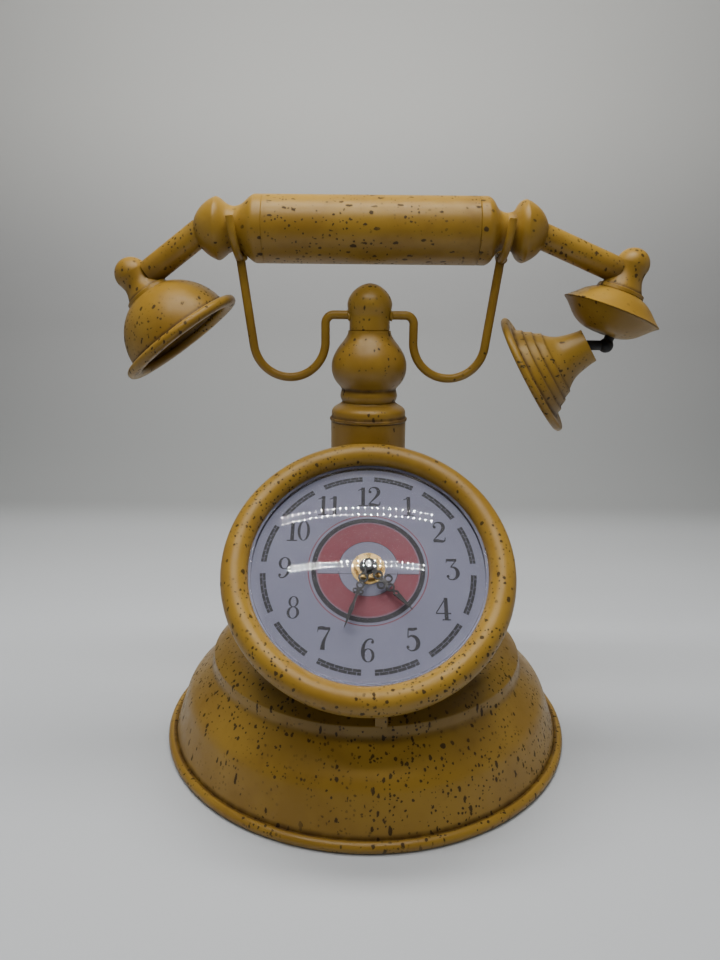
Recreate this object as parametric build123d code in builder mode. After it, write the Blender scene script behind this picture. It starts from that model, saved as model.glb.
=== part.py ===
from build123d import *
import os
from math import asin, cos, degrees, pi, radians, sin, sqrt

os.makedirs("parts", exist_ok=True)

# Table clock in the shape of an old cradle telephone, in millimetres.
# The origin is the middle of the base on the table, +Z is up and the dial looks towards -Y.

# ---------------------------------------------------------------- driving sizes
sheet = 0.9                    # thickness of the spun and pressed steel
base_radius = 100.0            # outside of the rolled rim
rim_bead_radius = 2.4
rim_bead_sink = 0.2            # the bead is pressed flat by this much where it stands
foot_inset = 3.7               # outside of the wall where it leaves the bead
shoulder_inset, shoulder_height = 10.5, 23.0
cove_inset, cove_height = 23.0, 36.2
lip_inset, lip_height = 23.6, 41.6
brow_inset, brow_height = 30.0, 47.2
table_inset, table_height = 44.0, 50.6      # flat top that the post stands on

post_y = 23.0                  # the post stands behind the middle of the base
post_radius = 18.9
post_top = 152.5
collar_lip_radius = 19.5
waist_radius = 13.5
waist_height = 162.0
vase_radius = 18.6
vase_height = 181.0
neck_radius = 9.9
vase_top = 197.0
knob_radius = 11.0
knob_top = 219.5

tie_rod_radius = 3.0
drill_clearance = 0.2

cradle_rod_radius = 2.15
cradle_height = 204.3
cradle_inner_x = 21.7
cradle_corner_radius = 4.2
cradle_u_radius = 17.8
cradle_u_height = 191.5
cradle_lean = 7.7              # degrees that the outer legs lean outwards

fork_rod_radius = 1.85
fork_bend_radius = 13.4
fork_prong = 4.6               # straight part of a prong above the handset's axis

handset_height = 243.8
grip_radius = 15.7
grip_half_length = 50.6
grip_wall = 1.0
neck_x = 64.2                  # middle of the handset's narrow necks
neck_radius_left, neck_radius_right = 10.2, 8.4
bulb_radius = 14.5
bulb_x = 73.0
bulb_end_x = 84.0
handset_rod_radius = 2.5
arm_tube_wall = 1.0

dial_tilt = 46.0               # degrees that the dial leans back from upright
case_radius = 62.5
case_post_gap = 3.1413         # from the post forward to the case's highest edge
case_lip_gap = 12.2839         # from the bell's lip up to the case's lowest edge
case_y = post_y - post_radius - case_post_gap - case_radius * sin(radians(dial_tilt))
case_z = lip_height + case_lip_gap + case_radius * cos(radians(dial_tilt))
opening_radius = 51.8
bezel_height = 8.8
case_depth = 10.5
plate_thickness = 1.0
paper_thickness = 0.2
lens_wall = 1.2
lens_rise = 6.0

movement_side = 56.0
movement_wall = 1.2
bushing_radius = 4.0
pivot_radius = 0.5
pivot_clearance = 0.05
running_clearance = 0.06
battery_radius, battery_length = 7.25, 50.5

# ---------------------------------------------------------------- planes and small helpers
post_section = Plane.XZ.offset(-post_y)
post_axis = Axis((0, post_y, 0), (0, 0, 1))
handset_axis = Axis((0, post_y, handset_height), (1, 0, 0))

dial_normal = Vector(0, -cos(radians(dial_tilt)), sin(radians(dial_tilt)))
dial_plane = Plane(origin=(0, case_y, case_z), x_dir=(1, 0, 0), z_dir=dial_normal)
dial_section = Plane(origin=(0, case_y, case_z), x_dir=(1, 0, 0), z_dir=Vector(1, 0, 0).cross(dial_normal))
dial_axis = Axis((0, case_y, case_z), dial_normal)


def on_dial(across, up, level):
    """Plane parallel to the dial, at a place given across it, up it and towards the viewer."""
    return Plane(dial_plane.location * Location((across, up, level)))


def lathe_plane(origin, direction):
    """Section plane of a turned piece: local x is the radius and local y runs along direction."""
    side = direction.cross(Vector(0, 1, 0)).normalized()
    return Plane(origin=origin, x_dir=side, z_dir=side.cross(direction))


def save(piece, name):
    """Label a finished piece and write its STEP file."""
    piece.part.label = name
    export_step(piece.part, f"parts/{name}.step")


# ---------------------------------------------------------------- base
# The base is one spun bell, hollow beneath, with its edge rolled into a bead that stands on the table.
bell_corners = [
    (base_radius - foot_inset, 2 * rim_bead_radius - 1.4),
    (base_radius - shoulder_inset, shoulder_height),
    (base_radius - cove_inset, cove_height),
    (base_radius - lip_inset, lip_height),
    (base_radius - brow_inset, brow_height),
    (base_radius - table_inset, table_height),
    (0, table_height),
]
bell_bends = [16, 5, 1.2, 12, 14]

with BuildPart() as base_bell:
    with BuildSketch(Plane.XZ):
        with BuildLine():
            bell_line = FilletPolyline(*bell_corners, radius=bell_bends)
            offset(bell_line, amount=sheet, side=Side.LEFT)
        make_face()
    revolve(axis=Axis.Z)
    with BuildSketch(Plane.XZ):
        with Locations((base_radius - rim_bead_radius, rim_bead_radius - rim_bead_sink)):
            Circle(rim_bead_radius)
        with Locations((base_radius, -rim_bead_radius / 2)):
            Rectangle(4 * rim_bead_radius, rim_bead_radius, mode=Mode.SUBTRACT)
    revolve(axis=Axis.Z)
    with Locations((0, post_y, table_height)):
        Cylinder(tie_rod_radius + drill_clearance, 4 * sheet, mode=Mode.SUBTRACT)
save(base_bell, "base_bell")

# ---------------------------------------------------------------- post, from the foot tube up to the knob
with BuildPart() as post_tube:
    with BuildSketch(Plane.XY.offset(table_height)):
        with Locations((0, post_y)):
            Circle(post_radius)
            Circle(post_radius - sheet, mode=Mode.SUBTRACT)
    extrude(amount=post_top - table_height)
save(post_tube, "post_tube")

collar_lip_height = 1.6
spigot_length = 6.0
with BuildPart() as post_collar:
    with BuildSketch(post_section):
        with BuildLine():
            Polyline(
                (tie_rod_radius + drill_clearance, waist_height),
                (tie_rod_radius + drill_clearance, post_top - spigot_length),
                (post_radius - sheet - drill_clearance, post_top - spigot_length),
                (post_radius - sheet - drill_clearance, post_top),
                (collar_lip_radius, post_top),
                (collar_lip_radius, post_top + collar_lip_height),
                (post_radius - 0.2, post_top + collar_lip_height + 0.6),
            )
            Spline(
                (post_radius - 0.2, post_top + collar_lip_height + 0.6),
                (post_radius - 0.5, post_top + 5.2),
                (waist_radius + 1.4, waist_height - 1.4),
                (waist_radius, waist_height),
                tangents=[(0.1, 1), (-0.5, 1)],
            )
            Line((waist_radius, waist_height), (tie_rod_radius + drill_clearance, waist_height))
        make_face()
    revolve(axis=post_axis)
save(post_collar, "post_collar")

vase_ring_radius = 14.3
vase_ring_height = 3.4         # middle of the lower ring above the waist
with BuildPart() as vase:
    with BuildSketch(post_section):
        with BuildLine():
            Spline(
                (waist_radius, waist_height),
                (vase_ring_radius, waist_height + vase_ring_height),
                (waist_radius + 0.1, waist_height + 6.2),
                tangents=[(0.6, 1), (-0.2, 1)],
            )
            Spline(
                (waist_radius + 0.1, waist_height + 6.2),
                (waist_radius + 2.6, waist_height + 9.4),
                (vase_radius, vase_height),
                (neck_radius + 4.6, vase_top - 7.2),
                (neck_radius + 1.1, vase_top - 2.2),
                (neck_radius + 0.6, vase_top),
                tangents=[(0.5, 1), (0, 1)],
            )
            Polyline(
                (neck_radius + 0.6, vase_top),
                (tie_rod_radius + drill_clearance, vase_top),
                (tie_rod_radius + drill_clearance, waist_height),
                (waist_radius, waist_height),
            )
        make_face()
    revolve(axis=post_axis)
    # a wide bore runs through the belly between the collar and the knob
    with BuildSketch(Plane.XY.offset(waist_height)):
        with Locations((0, post_y)):
            Circle(neck_radius - 1.5)
    extrude(amount=vase_top - waist_height, mode=Mode.SUBTRACT)
save(vase, "vase")

knob_height = 209.0            # widest place of the knob
rod_depth = 214.0              # top of the blind hole that the tie rod screws into
with BuildPart() as top_knob:
    with BuildSketch(post_section):
        with BuildLine():
            Polyline(
                (tie_rod_radius + 0.02, vase_top),
                (neck_radius, vase_top),
                (neck_radius, cradle_height - 1.0),
            )
            Spline(
                (neck_radius, cradle_height - 1.0),
                (knob_radius, knob_height),
                (knob_radius - 2.6, knob_height + 6.2),
                (2.6, knob_top - 0.5),
                (0, knob_top),
                tangents=[(0, 1), (-1, 0.12)],
            )
            Polyline(
                (0, knob_top),
                (0, rod_depth),
                (tie_rod_radius + 0.02, rod_depth),
                (tie_rod_radius + 0.02, vase_top),
            )
        make_face()
    revolve(axis=post_axis)
save(top_knob, "top_knob")

# The tie rod pulls knob, vase, collar and tube down on the base, with a washer and a nut beneath it.
washer_height, nut_height = 1.2, 5.0
rod_bottom = table_height - sheet - washer_height - nut_height - 2.0
with BuildPart() as tie_rod:
    with BuildSketch(Plane.XY.offset(rod_bottom)):
        with Locations((0, post_y)):
            Circle(tie_rod_radius)
    extrude(amount=rod_depth - 0.5 - rod_bottom)
    chamfer(tie_rod.edges().filter_by(GeomType.CIRCLE), length=0.5)
save(tie_rod, "tie_rod")

with BuildPart() as tie_washer:
    with BuildSketch(Plane.XY.offset(table_height - sheet - washer_height)):
        with Locations((0, post_y)):
            Circle(3 * tie_rod_radius)
            Circle(tie_rod_radius + drill_clearance, mode=Mode.SUBTRACT)
    extrude(amount=washer_height)
save(tie_washer, "tie_washer")

with BuildPart() as tie_nut:
    with BuildSketch(Plane.XY.offset(table_height - sheet - washer_height - nut_height)):
        with Locations((0, post_y)):
            RegularPolygon(1.67 * tie_rod_radius, 6, major_radius=False)
            Circle(tie_rod_radius + 0.02, mode=Mode.SUBTRACT)
    extrude(amount=nut_height)
save(tie_nut, "tie_nut")

# ---------------------------------------------------------------- cradle: bent rods and forks welded together
# Each arm leaves the neck level, turns down, makes a U and rises into a leg that carries a fork.
cradle_u_x = cradle_inner_x + cradle_u_radius
lean = radians(cradle_lean)
leg_foot = (cradle_u_x + cradle_u_radius * cos(lean), cradle_u_height - cradle_u_radius * sin(lean))
fork_bottom = handset_height - fork_bend_radius
leg_rise = fork_bottom - leg_foot[1]
fork_x = leg_foot[0] + leg_rise * sin(lean) / cos(lean)
fork_plane = Plane(
    origin=(fork_x + fork_bend_radius * sin(lean), post_y, handset_height),
    x_dir=(0, 1, 0),
    z_dir=(cos(lean), 0, -sin(lean)),
)

with BuildPart() as fork_right:
    with BuildLine(fork_plane) as fork_line:
        Line((-fork_bend_radius, fork_prong), (-fork_bend_radius, 0))
        CenterArc((0, 0), fork_bend_radius, 180, 180)
        Line((fork_bend_radius, 0), (fork_bend_radius, fork_prong))
    with BuildSketch(Plane(origin=fork_line.line @ 0, z_dir=fork_line.line % 0)):
        Circle(fork_rod_radius)
    sweep()
save(fork_right, "fork_right")

with BuildPart() as cradle_arm_right:
    with BuildLine(post_section) as arm_line:
        FilletPolyline(
            (neck_radius - 2, cradle_height),
            (cradle_inner_x, cradle_height),
            (cradle_inner_x, cradle_u_height),
            radius=cradle_corner_radius,
        )
        CenterArc((cradle_u_x, cradle_u_height), cradle_u_radius, 180, 180 - cradle_lean)
        Line(leg_foot, (fork_x, fork_bottom))
    with BuildSketch(Plane(origin=arm_line.line @ 0, z_dir=arm_line.line % 0)):
        Circle(cradle_rod_radius)
    sweep(transition=Transition.ROUND)
    add(top_knob.part, mode=Mode.SUBTRACT)
    add(fork_right.part, mode=Mode.SUBTRACT)
save(cradle_arm_right, "cradle_arm_right")

for right_piece, left_name in ((fork_right, "fork_left"), (cradle_arm_right, "cradle_arm_left")):
    with BuildPart() as left_piece:
        mirror(right_piece.part, about=Plane.YZ)
    save(left_piece, left_name)

# ---------------------------------------------------------------- clock case: two pressed half shells
lip_level = 1.5 + plate_thickness / 2       # underside of the bezel's inner edge
crest_radius = (opening_radius + case_radius) / 2
with BuildPart() as bezel:
    with BuildSketch(dial_section):
        with BuildLine():
            ThreePointArc((opening_radius, lip_level), (crest_radius - 0.6, bezel_height), (case_radius, 0))
            Line((case_radius, 0), (case_radius - sheet, 0))
            ThreePointArc(
                (case_radius - sheet, 0),
                (crest_radius - 0.6, bezel_height - sheet),
                (opening_radius + sheet, lip_level),
            )
            Line((opening_radius + sheet, lip_level), (opening_radius, lip_level))
        make_face()
    revolve(axis=dial_axis)
save(bezel, "bezel")

rear_edge_radius = opening_radius + 0.7
rear_bulge = (case_radius - 2.9, -0.68 * case_depth)
with BuildPart() as case_ring:
    with BuildSketch(dial_section):
        with BuildLine():
            ThreePointArc((case_radius, 0), rear_bulge, (rear_edge_radius, -case_depth))
            Line((rear_edge_radius, -case_depth), (rear_edge_radius, sheet - case_depth))
            ThreePointArc(
                (rear_edge_radius, sheet - case_depth),
                (rear_bulge[0] - 0.8 * sheet, rear_bulge[1] + 0.6 * sheet),
                (case_radius - sheet, 0),
            )
            Line((case_radius - sheet, 0), (case_radius, 0))
        make_face()
    revolve(axis=dial_axis)
save(case_ring, "case_ring")

# Filled outer shapes of the case and of the base, used to trim what is welded between them.
with BuildPart() as case_envelope:
    with BuildSketch(dial_section):
        with BuildLine():
            ThreePointArc((opening_radius, lip_level), (crest_radius - 0.6, bezel_height), (case_radius, 0))
            ThreePointArc((case_radius, 0), rear_bulge, (rear_edge_radius, -case_depth))
            Line((rear_edge_radius, -case_depth), (opening_radius, lip_level))
        make_face()
    revolve(axis=dial_axis)

with BuildPart() as base_envelope:
    with BuildSketch(Plane.XZ):
        with BuildLine():
            FilletPolyline(*bell_corners, radius=bell_bends)
            Polyline((0, table_height), (0, 0), (base_radius - foot_inset, 0), bell_corners[0])
        make_face()
    revolve(axis=Axis.Z)

tab_width, tab_depth, tab_x = 5.0, 1.6, 5.7
tab_setback = 0.93             # the tab stands this far in front of the case's rear edge
tab_y = case_y + case_depth * cos(radians(dial_tilt)) - rear_edge_radius * sin(radians(dial_tilt)) - tab_setback
tab_foot = rim_bead_radius * 2  # the blank starts inside the bell, however far down its wall the tab lands
with BuildPart() as tab_blank:
    with Locations((tab_x, tab_y, tab_foot)):
        Box(tab_width, tab_depth, case_z - tab_foot, align=(Align.CENTER, Align.CENTER, Align.MIN))
    add(case_envelope.part, mode=Mode.SUBTRACT)
    add(base_envelope.part, mode=Mode.SUBTRACT)
with BuildPart() as case_tab:
    add(tab_blank.part.solids().sort_by(Axis.Z)[0])
save(case_tab, "case_tab")

bracket_width, bracket_height, bracket_drop = 12.0, 12.0, 21.7
bracket_bottom = case_z + case_radius * cos(radians(dial_tilt)) - bracket_drop
bracket_top = bracket_bottom + bracket_height
with BuildPart() as case_bracket:
    with BuildSketch(Plane.XY.offset(bracket_bottom)):
        with Locations((0, post_y)):
            Rectangle(bracket_width, post_radius + 6.0, align=(Align.CENTER, Align.MAX))
            Circle(post_radius, mode=Mode.SUBTRACT)
    extrude(amount=bracket_top - bracket_bottom)
    add(case_envelope.part, mode=Mode.SUBTRACT)
save(case_bracket, "case_bracket")

# ---------------------------------------------------------------- dial, lens and centre fixing
paper_level = plate_thickness / 2           # back of the printed paper
dial_level = paper_level + paper_thickness  # printed face
flange_top = lip_level
plate_radius = case_radius - sheet - 0.15
with BuildPart() as dial_plate:
    with BuildSketch(on_dial(0, 0, -plate_thickness / 2)):
        Circle(plate_radius)
        Circle(bushing_radius + drill_clearance, mode=Mode.SUBTRACT)
    extrude(amount=plate_thickness)
save(dial_plate, "dial_plate")

flange_radius = opening_radius + 1.6
with BuildPart() as dial_paper:
    with BuildSketch(on_dial(0, 0, paper_level)):
        Circle(flange_radius)
        Circle(bushing_radius + drill_clearance, mode=Mode.SUBTRACT)
    extrude(amount=paper_thickness)
save(dial_paper, "dial_paper")

lens_radius = opening_radius - 0.25
skirt_level = 4.2
dome_radius = (lens_radius**2 + lens_rise**2) / (2 * lens_rise)
dome_centre = skirt_level + lens_rise - dome_radius
inner_dome_radius = dome_radius - lens_wall
inner_skirt_radius = lens_radius - lens_wall
outer_angle = degrees(asin(lens_radius / dome_radius))
inner_angle = degrees(asin(inner_skirt_radius / inner_dome_radius))
inner_skirt_level = dome_centre + sqrt(inner_dome_radius**2 - inner_skirt_radius**2)
with BuildPart() as lens:
    with BuildSketch(dial_section):
        with BuildLine():
            Polyline(
                (lens_radius, skirt_level),
                (lens_radius, flange_top),
                (flange_radius, flange_top),
                (flange_radius, dial_level),
                (inner_skirt_radius, dial_level),
                (inner_skirt_radius, inner_skirt_level),
            )
            CenterArc((0, dome_centre), inner_dome_radius, 90 - inner_angle, inner_angle)
            Line((0, dome_centre + inner_dome_radius), (0, dome_centre + dome_radius))
            CenterArc((0, dome_centre), dome_radius, 90 - outer_angle, outer_angle)
        make_face()
    revolve(axis=dial_axis)
save(lens, "lens")

brass_washer_radius, brass_washer_height = 7.3, 0.4
brass_nut_height = 2.0
nut_level = dial_level + brass_washer_height
with BuildPart() as brass_washer:
    with BuildSketch(on_dial(0, 0, dial_level)):
        Circle(brass_washer_radius)
        Circle(bushing_radius + drill_clearance, mode=Mode.SUBTRACT)
    extrude(amount=brass_washer_height)
save(brass_washer, "brass_washer")

with BuildPart() as brass_nut:
    with BuildSketch(on_dial(0, 0, nut_level)):
        RegularPolygon(bushing_radius + 1.4, 6, major_radius=False)
        Circle(bushing_radius + 0.02, mode=Mode.SUBTRACT)
    extrude(amount=brass_nut_height)
    chamfer(brass_nut.faces().sort_by(dial_axis)[-1].outer_wire().edges(), length=0.3)
save(brass_nut, "brass_nut")

# ---------------------------------------------------------------- quartz movement
# Levels run towards the viewer from the middle of the dial plate, so those of the movement are negative.
pad_thickness, pad_radius = 0.8, 12.0
pad_level = -plate_thickness / 2 - pad_thickness
movement_front_level = pad_level
front_depth = 4.6              # front half of the movement's case
plate_gap = 0.5                # train plate between the two halves
back_depth = 11.0              # back half
train_plate_level = movement_front_level - front_depth - plate_gap
back_level = train_plate_level - back_depth
floor_level = back_level + movement_wall
half_side = movement_side / 2
battery_up = -(half_side - movement_wall) + battery_radius + 0.15
partition_up = battery_up + battery_radius + 0.15
battery_axis_level = movement_front_level - movement_wall - battery_radius - 0.1

# Gear train: teeth, modules and the places of the arbors across and up the dial.
cannon_teeth, motion_teeth, motion_module = 10, 30, 0.5
motion_pinion_teeth, hour_teeth, hour_module = 10, 40, 0.4
rotor_teeth, fifth_teeth = 8, 40
fifth_pinion_teeth, fourth_teeth, fast_module = 10, 60, 0.3
fourth_pinion_teeth, third_teeth = 8, 60
third_pinion_teeth, centre_teeth, centre_module = 8, 64, 0.32
# both pairs share the distance between the middle arbor and the third wheel's arbor
third_module = centre_module * (third_pinion_teeth + centre_teeth) / (fourth_pinion_teeth + third_teeth)


def away(start, distance, angle):
    """Point at a distance and an angle in degrees from a start point."""
    return (start[0] + distance * cos(radians(angle)), start[1] + distance * sin(radians(angle)))


def mesh_phase(driver_teeth, driver_phase, direction, driven_teeth):
    """Angle of a tooth on the driven gear, whose gap takes the driver's tooth on the line of centres."""
    share = (direction - driver_phase) / (360 / driver_teeth)
    return direction + 180 - (0.5 - share) * 360 / driven_teeth


centre = (0, 0)
motion_direction, knob_direction = 90.0, 90.0
fifth_direction, rotor_direction, third_direction = 40.0, 20.0, 150.0
motion_place = away(centre, (cannon_teeth + motion_teeth) * motion_module / 2, motion_direction)
knob_place = away(motion_place, (cannon_teeth + motion_teeth) * motion_module / 2, knob_direction)
fifth_place = away(centre, (fifth_pinion_teeth + fourth_teeth) * fast_module / 2, fifth_direction)
rotor_place = away(fifth_place, (rotor_teeth + fifth_teeth) * fast_module / 2, rotor_direction)
third_place = away(centre, (fourth_pinion_teeth + third_teeth) * third_module / 2, third_direction)

cannon_phase = 0.0
motion_phase = mesh_phase(cannon_teeth, cannon_phase, motion_direction, motion_teeth)
knob_phase = mesh_phase(motion_teeth, motion_phase, knob_direction, cannon_teeth)
motion_pinion_phase = 0.0
hour_phase = mesh_phase(motion_pinion_teeth, motion_pinion_phase, motion_direction + 180, hour_teeth)
fourth_phase = 0.0
fifth_pinion_phase = mesh_phase(fourth_teeth, fourth_phase, fifth_direction, fifth_pinion_teeth)
fifth_phase = 0.0
rotor_phase = mesh_phase(fifth_teeth, fifth_phase, rotor_direction, rotor_teeth)
fourth_pinion_phase = 0.0
third_phase = mesh_phase(fourth_pinion_teeth, fourth_pinion_phase, third_direction, third_teeth)
third_pinion_phase = 0.0
centre_phase = mesh_phase(third_pinion_teeth, third_pinion_phase, third_direction + 180, centre_teeth)

tooth_addendum, tooth_dedendum = 0.8, 1.1             # shares of the module
tooth_root, tooth_tip = 0.26 * pi, 0.10 * pi          # half widths, as shares of the module


def gear(teeth, module, place, level, phase, thickness):
    """Root disc with straight-sided teeth standing round it, the first one at the phase angle."""
    root = (teeth / 2 - tooth_dedendum) * module
    tip = (teeth / 2 + tooth_addendum) * module
    tooth = [(0.8 * root, tooth_root * module), (root, tooth_root * module), (tip, tooth_tip * module)]
    with BuildSketch(on_dial(*place, level)) as outline:
        Circle(root)
        with PolarLocations(0, teeth, start_angle=phase):
            Polygon(*[(x, -y) for x, y in tooth], *reversed(tooth), align=None)
    extrude(outline.sketch, amount=thickness)


def disc(radius, place, level, end_level, mode=Mode.ADD):
    """Round shaft, boss or hole from one level to another."""
    with BuildSketch(on_dial(*place, level)) as outline:
        Circle(radius)
    extrude(outline.sketch, amount=end_level - level, mode=mode)


# Levels of the gears, each given by its back face and its thickness.
wheel_thickness = 0.8
pinion_thickness = 1.4
hour_level = movement_front_level - movement_wall - 1.5
motion_level = hour_level - 1.7
cannon_level = motion_level - 0.1
centre_level = train_plate_level - 1.2
third_level = centre_level - 2.2
fourth_level = third_level - 1.8
fifth_level = fourth_level - 2.0
pivot_back = floor_level - 0.6              # ends of the arbors in the blind holes of the back
pivot_front = train_plate_level + 0.3

arbor_radius = 1.2
hour_tube_radius = 2.2
hour_tube_bore = arbor_radius + running_clearance
hour_hand_level = nut_level + brass_nut_height + 0.4
hour_hand_thickness = 0.5
minute_hand_level = hour_hand_level + 1.5
minute_hand_thickness = 0.5
arbor_end = minute_hand_level + minute_hand_thickness + 0.7
hour_tube_end = hour_hand_level + hour_hand_thickness + 0.3

with BuildPart() as minute_arbor:
    gear(cannon_teeth, motion_module, centre, cannon_level, cannon_phase, pinion_thickness)
    disc(arbor_radius, centre, cannon_level, arbor_end)
save(minute_arbor, "minute_arbor")

with BuildPart() as hour_wheel:
    gear(hour_teeth, hour_module, centre, hour_level, hour_phase, wheel_thickness)
    disc(hour_tube_radius, centre, hour_level, hour_tube_end)
    disc(hour_tube_bore, centre, hour_level, hour_tube_end, Mode.SUBTRACT)
save(hour_wheel, "hour_wheel")

motion_pinion_level = motion_level + wheel_thickness
motion_pinion_end = hour_level + 1.1
with BuildPart() as motion_wheel:
    gear(motion_teeth, motion_module, motion_place, motion_level, motion_phase, wheel_thickness)
    gear(
        motion_pinion_teeth,
        hour_module,
        motion_place,
        motion_pinion_level,
        motion_pinion_phase,
        motion_pinion_end - motion_pinion_level,
    )
    disc(pivot_radius, motion_place, pivot_front, movement_front_level - 0.6)
save(motion_wheel, "motion_wheel")

knob_back_level = back_level - 3.0
knob_shaft_radius = 1.5
setting_knob_radius, setting_knob_thickness = 5.2, 2.6
knurl_radius, knurl_count = 0.35, 18
with BuildPart() as setting_knob:
    gear(cannon_teeth, motion_module, knob_place, cannon_level, knob_phase, pinion_thickness)
    disc(knob_shaft_radius, knob_place, knob_back_level, cannon_level)
    with BuildSketch(on_dial(*knob_place, knob_back_level)):
        Circle(setting_knob_radius)
        with PolarLocations(setting_knob_radius, knurl_count):
            Circle(knurl_radius, mode=Mode.SUBTRACT)
    extrude(amount=setting_knob_thickness)
save(setting_knob, "setting_knob")

with BuildPart() as centre_wheel:
    gear(centre_teeth, centre_module, centre, centre_level, centre_phase, wheel_thickness)
    disc(arbor_radius, centre, centre_level, cannon_level - 0.15)
save(centre_wheel, "centre_wheel")


def wheel_and_pinion(wheel, pinion, place, level, pinion_end, shaft_start, shaft_end):
    """Wheel with a pinion in front of it on one thin shaft; both are (teeth, module, phase)."""
    wheel_teeth, wheel_module, wheel_phase = wheel
    pinion_teeth, pinion_module, pinion_phase = pinion
    pinion_level = level + wheel_thickness
    with BuildPart() as piece:
        gear(wheel_teeth, wheel_module, place, level, wheel_phase, wheel_thickness)
        gear(pinion_teeth, pinion_module, place, pinion_level, pinion_phase, pinion_end - pinion_level)
        disc(pivot_radius, place, shaft_start, shaft_end)
    return piece


pinion_overlap = wheel_thickness + 0.2      # a pinion runs this far past the back of the wheel it drives
third_wheel = wheel_and_pinion(
    (third_teeth, third_module, third_phase),
    (third_pinion_teeth, centre_module, third_pinion_phase),
    third_place,
    third_level,
    centre_level + pinion_overlap,
    pivot_back,
    pivot_front,
)
save(third_wheel, "third_wheel")

fourth_wheel = wheel_and_pinion(
    (fourth_teeth, fast_module, fourth_phase),
    (fourth_pinion_teeth, third_module, fourth_pinion_phase),
    centre,
    fourth_level,
    third_level + pinion_overlap,
    pivot_back,
    fourth_level,
)
save(fourth_wheel, "fourth_wheel")

fifth_wheel = wheel_and_pinion(
    (fifth_teeth, fast_module, fifth_phase),
    (fifth_pinion_teeth, fast_module, fifth_pinion_phase),
    fifth_place,
    fifth_level,
    fourth_level + pinion_overlap,
    pivot_back,
    fifth_level,
)
save(fifth_wheel, "fifth_wheel")

magnet_radius, magnet_length = 2.6, 3.0
rotor_pinion_level, rotor_pinion_thickness = fifth_level - 0.2, 1.3
magnet_level = fifth_level + 1.4
with BuildPart() as rotor:
    gear(rotor_teeth, fast_module, rotor_place, rotor_pinion_level, rotor_phase, rotor_pinion_thickness)
    disc(magnet_radius, rotor_place, magnet_level, magnet_level + magnet_length)
    disc(pivot_radius, rotor_place, pivot_back, magnet_level)
save(rotor, "rotor")

# Stator and coil drive the rotor; the circuit board lies behind the third wheel.
stator_level = fifth_level + 2.4
stator_thickness = 0.8
stator_left, stator_right = rotor_place[0] - 3.9, rotor_place[0] + 10.4
stator_bottom, stator_top = rotor_place[1] - 4.6, rotor_place[1] + 15.0
stator_leg = 3.0
stator_bar = 2.0
bar_up = stator_top - 3.0
with BuildPart() as stator:
    with BuildSketch(on_dial(0, 0, stator_level)):
        with Locations(((stator_left + stator_right) / 2, stator_bottom)):
            Rectangle(stator_right - stator_left, 9.2, align=(Align.CENTER, Align.MIN))
        for leg_left in (stator_left, stator_right - stator_leg):
            with Locations((leg_left, stator_bottom)):
                Rectangle(stator_leg, stator_top - stator_bottom, align=(Align.MIN, Align.MIN))
        with Locations(((stator_left + stator_right) / 2, bar_up)):
            Rectangle(stator_right - stator_left, stator_bar)
        with Locations(rotor_place):
            Circle(magnet_radius + 0.4, mode=Mode.SUBTRACT)
    extrude(amount=stator_thickness)
save(stator, "stator")

coil_half = (stator_right - stator_left) / 2 - stator_leg - 0.3
coil_left = (stator_left + stator_right) / 2 - coil_half
coil_radius = 2.5
winding_gap = 0.1


def across_dial(across, up, level):
    """Plane that looks across the dial towards 3 o'clock, at a place on the dial."""
    return Plane(dial_plane.location * Location((across, up, level), (0, 90, 0)))


with BuildPart() as coil:
    with BuildSketch(across_dial(coil_left, bar_up, stator_level + stator_thickness / 2)):
        Circle(coil_radius)
        Rectangle(stator_thickness + winding_gap, stator_bar + winding_gap, mode=Mode.SUBTRACT)
    extrude(amount=2 * coil_half)
save(coil, "coil")

board_right, board_bottom = knob_place[0] - 3.0, third_place[1] + 6.0
with BuildPart() as circuit_board:
    with BuildSketch(on_dial(board_right, board_bottom, floor_level + 0.6)):
        Rectangle(
            board_right + half_side - movement_wall - 0.4,
            half_side - movement_wall - 0.4 - board_bottom,
            align=(Align.MAX, Align.MIN),
        )
    extrude(amount=1.0)
    with Locations(on_dial(board_right - 12.0, board_bottom + 6.0, floor_level + 1.6)):
        Cylinder(3.0, 1.2, align=(Align.CENTER, Align.CENTER, Align.MIN))
save(circuit_board, "circuit_board")

# Movement case: front half with the threaded bushing, train plate, and back half with the battery bay.
corner_round = 3.0
bay_half_length = battery_length / 2 + 0.65
bay_width = 2 * battery_radius + 0.3


def inner_outline(level):
    """Space for the wheels: all of the case above the partition."""
    with BuildSketch(on_dial(0, partition_up + movement_wall, level)) as outline:
        Rectangle(
            movement_side - 2 * movement_wall,
            half_side - 2 * movement_wall - partition_up,
            align=(Align.CENTER, Align.MIN),
        )
    return outline.sketch


def bay_outline(level):
    """Space for the battery below the partition."""
    with BuildSketch(on_dial(0, battery_up, level)) as outline:
        Rectangle(2 * bay_half_length, bay_width)
    return outline.sketch


bushing_end = nut_level + brass_nut_height - 0.1
pivot_hole_radius = pivot_radius + pivot_clearance
with BuildPart() as movement_front:
    front_back_level = movement_front_level - front_depth
    front_floor_level = movement_front_level - movement_wall
    with BuildSketch(on_dial(0, 0, front_back_level)):
        RectangleRounded(movement_side, movement_side, corner_round)
    extrude(amount=front_depth)
    extrude(inner_outline(front_back_level), amount=front_depth - movement_wall, mode=Mode.SUBTRACT)
    extrude(bay_outline(front_back_level), amount=front_depth - movement_wall, mode=Mode.SUBTRACT)
    disc(bushing_radius, centre, movement_front_level, bushing_end)
    disc(hour_tube_radius + running_clearance, centre, front_floor_level, bushing_end, Mode.SUBTRACT)
    disc(pivot_hole_radius, motion_place, front_floor_level, movement_front_level - 0.4, Mode.SUBTRACT)
save(movement_front, "movement_front")

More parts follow.
